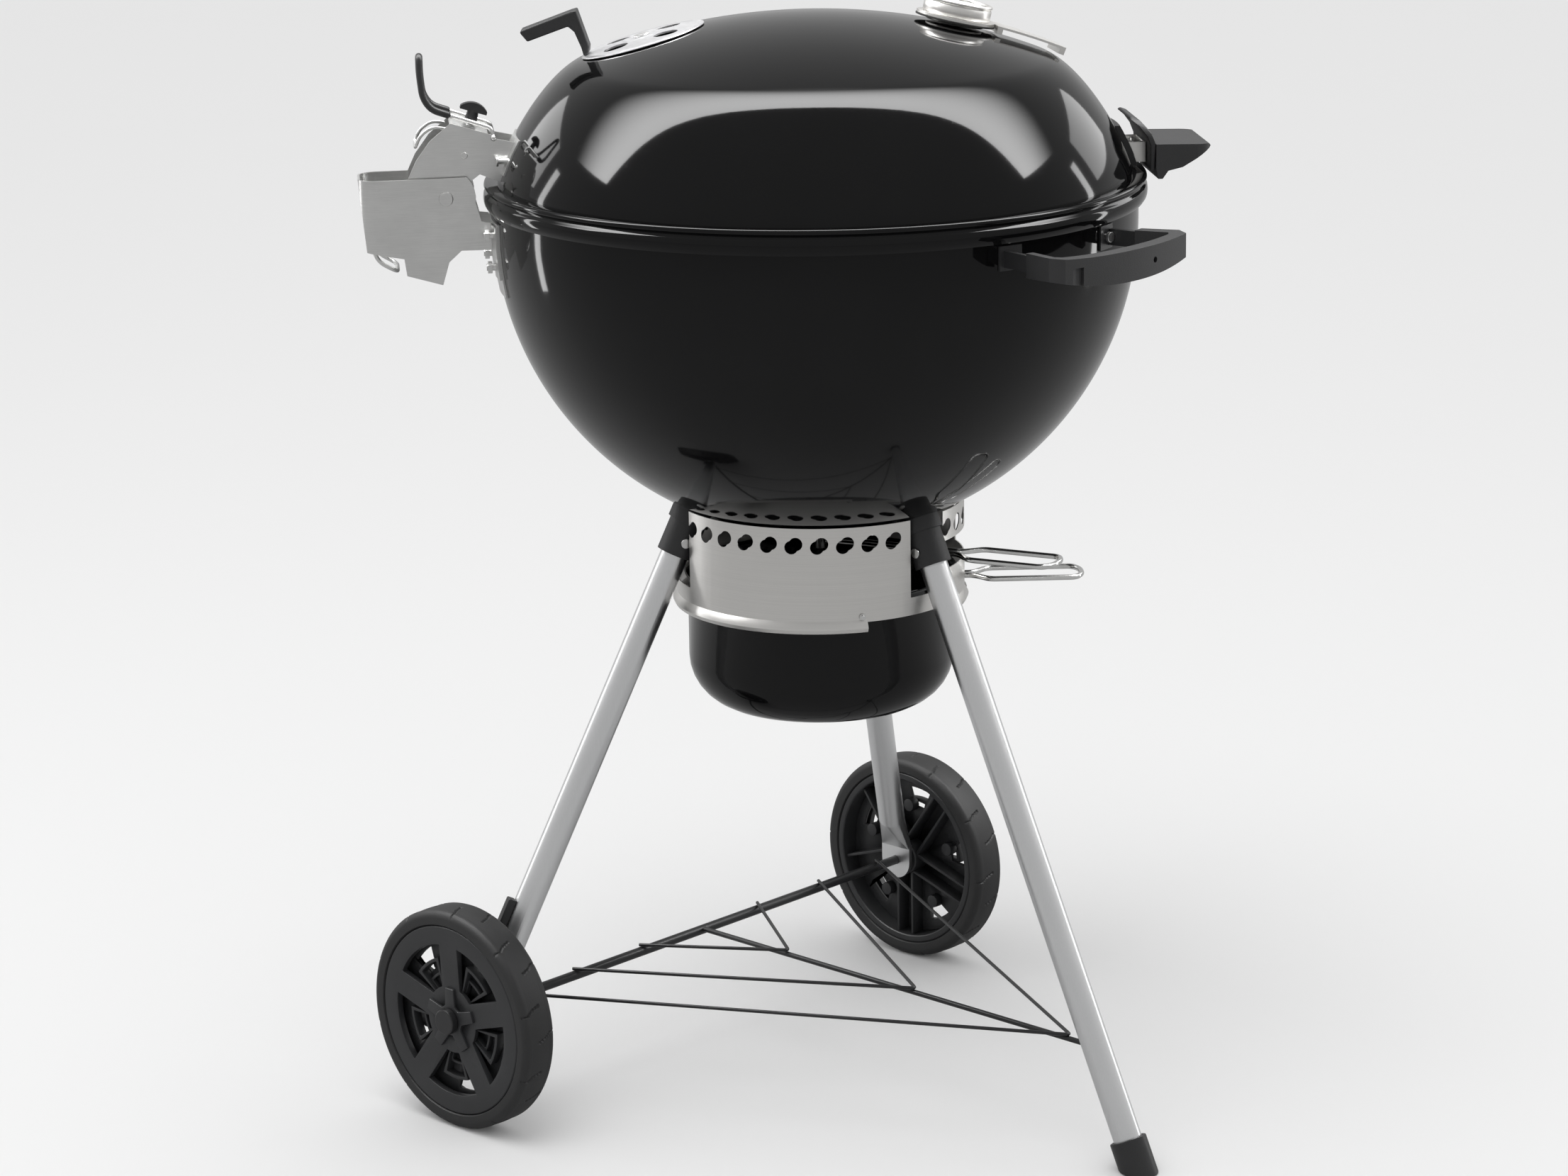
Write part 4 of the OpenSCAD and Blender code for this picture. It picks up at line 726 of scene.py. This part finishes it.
def buildGrates():
    g = grateShape
    turn = azimuth(hingeSpot["az"])
    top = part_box("cooking_grate")[1].z * 1000 - g["bar"] - g["ring"] - g["bar"] * 0.8  # the ring's own height
    grateRadius = g["reach"]
    place = turn @ Matrix.Translation((0, 0, top))

    def bars(count, first, pitch, r, bar, lift):
        bm = bmesh.new()
        bm.from_mesh(grown(barTree, {"Count": count, "Pitch": pitch, "First": first, "Reach": r, "Bar": bar}))
        bmesh.ops.translate(bm, vec=(0, 0, lift), verts=bm.verts)
        return bm

    lift = g["ring"] + g["bar"] * 0.8
    bm = bars(15, -7 * g["pitch"], g["pitch"], grateRadius, g["bar"], lift)
    edge = math.degrees(math.asin((g["line"] - 4) / grateRadius))
    for base in (0, 180):
        turns = [math.radians(base - edge + 2 * edge * i / 40) for i in range(41)]
        tube(bm, [(grateRadius * math.cos(t), grateRadius * math.sin(t), 0) for t in turns], g["ring"], g["sides"])
    for x in (-130, 130):
        tube(bm, [(x, -g["line"] + 5, 0.6), (x, g["line"] - 5, 0.6)], g["ring"], g["sides"])
    bmesh.ops.recalc_face_normals(bm, faces=bm.faces)
    finishPiece("cookingGrate", meshFrom(bm, place), "cooking_grate", replaces=("cooking_grate",), angle=50)
    first = g["line"] + 6
    for sign, node, name in ((1, "grate_flap_left", "flapLeft"), (-1, "grate_flap_right", "flapRight")):
        count = int((grateRadius - 12 - first) / g["pitch"]) + 1
        bm = bars(count, sign * first, sign * g["pitch"], grateRadius, g["bar"], lift)
        tube(bm, halfRing(grateRadius, g["line"] + 4, sign), g["ring"], g["sides"])
        for x in (-75, 75):
            far = sign * math.sqrt(grateRadius ** 2 - x * x)
            tube(bm, [(x, sign * first, 0.6), (x, far, 0.6)], g["ring"], g["sides"])
        bmesh.ops.recalc_face_normals(bm, faces=bm.faces)
        finishPiece(name, meshFrom(bm, place), node, replaces=(node,), angle=50)
    coalLow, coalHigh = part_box("charcoal_grate")
    r = (coalHigh.x - coalLow.x) * 500 - g["ring"]
    bm = bars(13, -6 * r / 7, r / 7, r, 3, g["ring"] + 2.4)
    circle = [Vector((r * math.cos(math.radians(t)), r * math.sin(math.radians(t)), 0)) for t in range(0, 361, 5)]
    tube(bm, circle, g["ring"], g["sides"], False)
    for x in (-0.45 * r, 0.45 * r):
        tube(bm, [(x, -0.893 * r, 0), (x, 0.893 * r, 0)], g["ring"], g["sides"])
    bmesh.ops.recalc_face_normals(bm, faces=bm.faces)
    coalPlace = azimuth(hingeSpot["az"] + 90) @ Matrix.Translation((0, 0, coalLow.z * 1000 + g["ring"]))
    finishPiece("charcoalGrate", meshFrom(bm, coalPlace), "charcoal_grate", replaces=("charcoal_grate",), angle=50)


# ---- wheels and tyres ----
wheelShape = {"r": 101.5, "width": 36, "rim": 87.5, "spokeHalf": 11.5, "pocketOut": 70, "pocketIn": 31,
              "faceDepth": 7, "floor": 0.5, "hub": 17, "turn": 18, "bore": 4.55}
treadShape = {"around": 540, "pitch": 36, "depth": 1.3, "wide": 0.55}


def prism(bm, outline, z0, z1):
    low = [bm.verts.new((x, y, z0)) for x, y in outline]
    high = [bm.verts.new((x, y, z1)) for x, y in outline]
    bm.faces.new(low[::-1])
    bm.faces.new(high)
    for i in range(len(outline)):
        m = (i + 1) % len(outline)
        bm.faces.new((low[i], low[m], high[m], high[i]))
    return low + high


def turned(points, degrees):
    c, s = math.cos(math.radians(degrees)), math.sin(math.radians(degrees))
    return [(x * c - y * s, x * s + y * c) for x, y in points]


def pocketOutline(grow=0.0):
    w = wheelShape
    half, out = w["spokeHalf"] - grow, w["pocketOut"] + grow
    edge = 36 - math.degrees(math.asin(half / out))
    near = w["pocketIn"] - grow
    nearEdge = 36 - math.degrees(math.asin(half / near))
    return arc((0, 0), out, -edge, edge, 12) + arc((0, 0), near, nearEdge, -nearEdge, 3)


def smallBevel(mesh, width, segments=2, angle=35):
    obj = looseObject(mesh)
    mod = obj.modifiers.new("edge", "BEVEL")
    mod.width, mod.segments, mod.limit_method = width * 0.001, segments, "ANGLE"
    mod.angle_limit = math.radians(angle)
    return applied(obj)


def buildWheel(side):
    w = wheelShape
    name = "wheelLeft" if side > 0 else "wheelRight"
    body = "wheel_left" if side > 0 else "wheel_right"
    low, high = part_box(body)
    place = Matrix.Translation((wheelX, (low.y + high.y) * 500, wheelZ)) \
        @ Matrix.Rotation(math.radians(-90 * side), 4, "X") @ Matrix.Rotation(math.radians(w["turn"]), 4, "Z")
    half = w["width"] / 2 - 1
    plate = bmesh.new()
    rim, depth = w["rim"], half - w["faceDepth"]
    dish = [(0, half - 3.2), (26, half - 3.0), (60, half - 1.2), (74, half - 0.3), (rim - 1.2, half),
            (rim, half - 1.2), (rim, -half + 1.2), (rim - 1.2, -half), (rim - 6, -half), (rim - 7, -half + 1),
            (rim - 8, depth - 3), (74, depth), (0, depth)]
    lathe(plate, dish, 120)
    cut = bmesh.new()
    for k in range(5):
        prism(cut, turned(pocketOutline(), 36 + 72 * k), -half - 2, half + 3)
    bmesh.ops.recalc_face_normals(cut, faces=cut.faces)
    face = smallBevel(cutWith(meshFrom(plate), meshFrom(cut)), 1.1, 3)
    deep = bmesh.new()
    lathe(deep, [(0, w["floor"] + 3), (rim - 8.2, w["floor"] + 3), (rim - 8.2, w["floor"]), (0, w["floor"])], 120)
    windows = bmesh.new()
    for k in range(5):
        window = arc((0, 0), 69, -4, 18, 5) + arc((0, 0), 50, 15, 2, 4)
        prism(windows, turned(window, 36 + 72 * k), -6, 12)
    bmesh.ops.recalc_face_normals(windows, faces=windows.faces)
    floor = smallBevel(cutWith(meshFrom(deep), meshFrom(windows)), 0.4)
    ribs = bmesh.new()
    for k in range(5):  # a stepped U wall stands in each pocket
        for reach, thick, top in ((57, 3.2, half - 5.0), (44, 2.6, half - 8.5)):
            a = 17 if reach > 50 else 14
            outer = arc((0, 0), reach, -a, a, 8)
            root = turned([(w["pocketIn"] - 4, 0)], a * 0.7)[0]
            mirrored = (root[0], -root[1])
            shape = outer + [root, turned([root], -3)[0]] + arc((0, 0), reach - thick, a - 4, 4 - a, 8) \
                + [turned([mirrored], 3)[0], mirrored]
            prism(ribs, turned(shape, 36 + 72 * k), w["floor"] + 2.5, top)
        wall = [(w["hub"] - 3, -1.6), (rim - 8.5, -1.3), (rim - 8.5, 1.3), (w["hub"] - 3, 1.6)]
        for offset in (-9.2, 9.2):
            prism(ribs, turned([(x, y + offset) for x, y in wall], 72 * k), -half + 3, w["floor"] + 1)
        boss = arc((52, 0), 6.5, 0, 330, 11)
        prism(ribs, turned(boss, 36 + 72 * k), -half + 9, w["floor"] + 1)
    bmesh.ops.recalc_face_normals(ribs, faces=ribs.faces)
    walls = smallBevel(meshFrom(ribs), 0.7)
    star = bmesh.new()
    arms = []
    for k in range(5):
        arms += turned([(13, -6.2), (30, -5.4), (30, 5.4), (13, 6.2)], 72 * k)
    prism(star, arms, half - 5, half - 0.2)
    bmesh.ops.recalc_face_normals(star, faces=star.faces)
    starMesh = smallBevel(meshFrom(star), 0.9, 3)
    hub = bmesh.new()
    bore, edge = w["bore"], w["hub"]
    lathe(hub, [(bore, half - 1.2), (edge - 5, half - 1.2), (edge - 4, half - 2.2), (edge - 4, half - 7),
                (edge, half - 8), (edge, -half + 1), (edge - 1, -half), (bore, -half)], 72)
    hubMesh = meshFrom(hub)
    whole = bmesh.new()
    for mesh in (face, floor, walls, starMesh, hubMesh):
        whole.from_mesh(mesh)
    drill = bmesh.new()
    polarCut(drill, bore, -half - 4, half + 4, Matrix.Identity(4), 32)
    bmesh.ops.transform(whole, matrix=Matrix.Scale(1000, 4), verts=whole.verts)
    finishPiece(name, cutWith(meshFrom(whole, place), meshFrom(drill, place)), body, replaces=(body,), angle=28)
    buildTyre(side, place)


# The tread is a fine grid whose radius drops along slanted sipes
def buildTyre(side, place):
    w, t = wheelShape, treadShape
    half = w["width"] / 2
    round7, crown = w["r"] - 7, w["r"] - 0.55
    nearEdge = [math.radians(d) for d in range(-90, -14, 12)]
    farEdge = [math.radians(d) for d in range(18, 91, 12)]
    profile = [(w["rim"] + 0.06, -half + 2.2), (w["rim"] + 1.2, -half + 0.4)] \
        + [(round7 + 7 * math.cos(a), -half + 7 + 7 * math.sin(a)) for a in nearEdge] \
        + [(crown + 0.55 * math.cos(math.pi * i / 24 - math.pi / 2), -half + 7.6 + (w["width"] - 15.2) * i / 24)
           for i in range(25)] \
        + [(round7 + 7 * math.cos(a), half - 7 + 7 * math.sin(a)) for a in farEdge] \
        + [(w["rim"] + 1.2, half - 0.4), (w["rim"] + 0.06, half - 2.2)]
    bm = bmesh.new()
    rings = []
    for r, z in profile:
        ring = []
        for k in range(t["around"]):
            turn = 360 * k / t["around"]
            drop = 0.0
            if r > w["r"] - 6:
                u = z / half
                for shift, sign in ((0, 1), (t["pitch"] / 2, -1)):
                    v = u * sign
                    if -0.15 < v < 0.93:
                        steep = 0.35 + (v - 0.35) * 2.2 if v < 0.6 else 0.9 + (v - 0.6) * 0.4
                        bend = 3.4 * (v if v < 0.35 else steep)
                        away = (turn - shift + bend * sign) % t["pitch"]
                        away = min(away, t["pitch"] - away)
                        if away < t["wide"]:
                            drop = t["depth"]
            at = math.radians(turn)
            ring.append(bm.verts.new(((r - drop) * math.cos(at), (r - drop) * math.sin(at), z)))
        rings.append(ring)
    for a, b in zip(rings, rings[1:] + rings[:1]):
        for k in range(t["around"]):
            m = (k + 1) % t["around"]
            bm.faces.new((a[k], a[m], b[m], b[k]))
    bmesh.ops.recalc_face_normals(bm, faces=bm.faces)
    node = "tyre_left" if side > 0 else "tyre_right"
    finishPiece("tyreLeft" if side > 0 else "tyreRight", meshFrom(bm, place), node, replaces=(node,), angle=40)


for side in (1, -1):
    buildWheel(side)
print("wheels and tyres made")
buildWires()
print("wires made")
buildGrates()
print("grates made")
buildCrownParts()
buildBowlHandle()
print("thermometer, damper and bowl handle made")


# ---- stage, lights and camera ----
# Reflectors are only seen in the gloss; the fill only lights the matt surfaces
def areaLight(name, place, target, size, power, fade=None, glossy=True, diffuse=False):
    data = bpy.data.lights.new(name, "AREA")
    data.shape, data.size, data.size_y, data.energy = "RECTANGLE", size[0], size[1], power
    lamp = bpy.data.objects.new(name, data)
    lamp.location = place
    lamp.rotation_euler = (Vector(target) - Vector(place)).to_track_quat("-Z", "Y").to_euler()
    lamp.visible_glossy, lamp.visible_diffuse, lamp.visible_camera = glossy, diffuse, False
    bpy.context.scene.collection.objects.link(lamp)
    if fade:
        data.use_nodes = True
        tree = data.node_tree
        spot = tree.nodes.new("ShaderNodeNewGeometry")
        parts = tree.nodes.new("ShaderNodeSeparateXYZ")
        span = tree.nodes.new("ShaderNodeMapRange")
        span.interpolation_type = "SMOOTHSTEP"
        span.inputs["From Min"].default_value, span.inputs["From Max"].default_value = fade
        tree.links.new(spot.outputs["Parametric"], parts.inputs[0])
        tree.links.new(parts.outputs[1], span.inputs["Value"])
        tree.links.new(span.outputs[0], tree.nodes["Emission"].inputs["Strength"])


stageLevels = {"floor": 0.86, "floorSeen": 0.46, "sky": 0.92, "skySeen": 0.5}


def makeStage():
    bm = bmesh.new()
    bmesh.ops.create_grid(bm, x_segments=1, y_segments=1, size=60000)
    mesh = meshFrom(bm)
    floor = bpy.data.objects.new("floor", mesh)
    bpy.context.scene.collection.objects.link(floor)
    level = stageLevels
    s = Shader("paleFloor", (level["floor"],) * 3, 0.0, Specular_IOR_Level=0.1)
    # painted shade: in glossy rays the floor's colour drops from floor to floorSeen, so the enamel and metals
    # reflect a darker floor than the camera sees
    gloss = s.add("ShaderNodeLightPath", {}, {}, "Is Glossy Ray")
    s.feed("Base Color", level["floor"] - gloss * (level["floor"] - level["floorSeen"]))
    s.feed("Roughness", 0.8 + s.noise(3, 2) * 0.1)
    mesh.materials.append(s.material)
    floor.location.z = -0.0006
    world = bpy.data.worlds.new("studio")
    bpy.context.scene.world = world
    world.use_nodes = True
    tree = world.node_tree
    tree.nodes.clear()
    out = tree.nodes.new("ShaderNodeOutputWorld")
    sky = tree.nodes.new("ShaderNodeBackground")
    path = tree.nodes.new("ShaderNodeLightPath")
    span = tree.nodes.new("ShaderNodeMapRange")
    span.inputs["To Min"].default_value, span.inputs["To Max"].default_value = level["sky"], level["skySeen"]
    sky.inputs[0].default_value = (1, 1, 1, 1)
    tree.links.new(path.outputs["Is Glossy Ray"], span.inputs["Value"])
    tree.links.new(span.outputs[0], sky.inputs[1])
    tree.links.new(sky.outputs[0], out.inputs[0])
    front = Vector((0.681, -0.732, 0))
    right = Vector((0.732, 0.681, 0))
    centre = Vector((axisX / 1000, 0, 0.95))
    areaLight("overhead", centre - front * 0.42 + Vector((0, 0, 1.5)), centre - front * 0.4, (6.4, 1.3), 470,
              fade=(0.0, 0.95))
    for name, side in (("leftWing", -1), ("rightWing", 1)):
        areaLight(name, centre + right * side * 2.2 - front * 1.9 + Vector((0, 0, 0.7)), centre, (1.2, 0.7), 7)
        areaLight(name + "Strip", centre + right * side * 2.4 - front * 0.9 - Vector((0, 0, 0.1)), centre,
                  (0.16, 1.8), 7)
    areaLight("softFill", centre + front * 1.2 - right * 0.8 + Vector((0, 0, 3.2)), centre - Vector((0, 0, 0.9)),
              (2.5, 2.5), 40, glossy=False, diffuse=True)


def makeCamera():
    data = bpy.data.cameras.new("camera")
    camera = bpy.data.objects.new("camera", data)
    bpy.context.scene.collection.objects.link(camera)
    turn, rise, roll = math.radians(42.92), math.radians(13.95), math.radians(-0.77)
    back = Vector((math.sin(turn) * math.cos(rise), -math.cos(turn) * math.cos(rise), math.sin(rise)))
    right = Vector((math.cos(turn), math.sin(turn), 0))
    up = back.cross(right)
    right, up = right * math.cos(roll) + up * math.sin(roll), up * math.cos(roll) - right * math.sin(roll)
    camera.matrix_world = Matrix.Translation(((2573.6 + axisX) / 1000, -2.7677, 1.4587)) \
        @ Matrix((right, up, back)).transposed().to_4x4()
    data.sensor_width, data.lens, data.shift_x, data.shift_y = 36, 99.215, -0.0229, -0.03798
    bpy.context.scene.camera = camera


makeStage()
makeCamera()
sceneView = bpy.context.scene.view_settings
sceneView.view_transform = "Standard"
print("stage, lights and camera set")
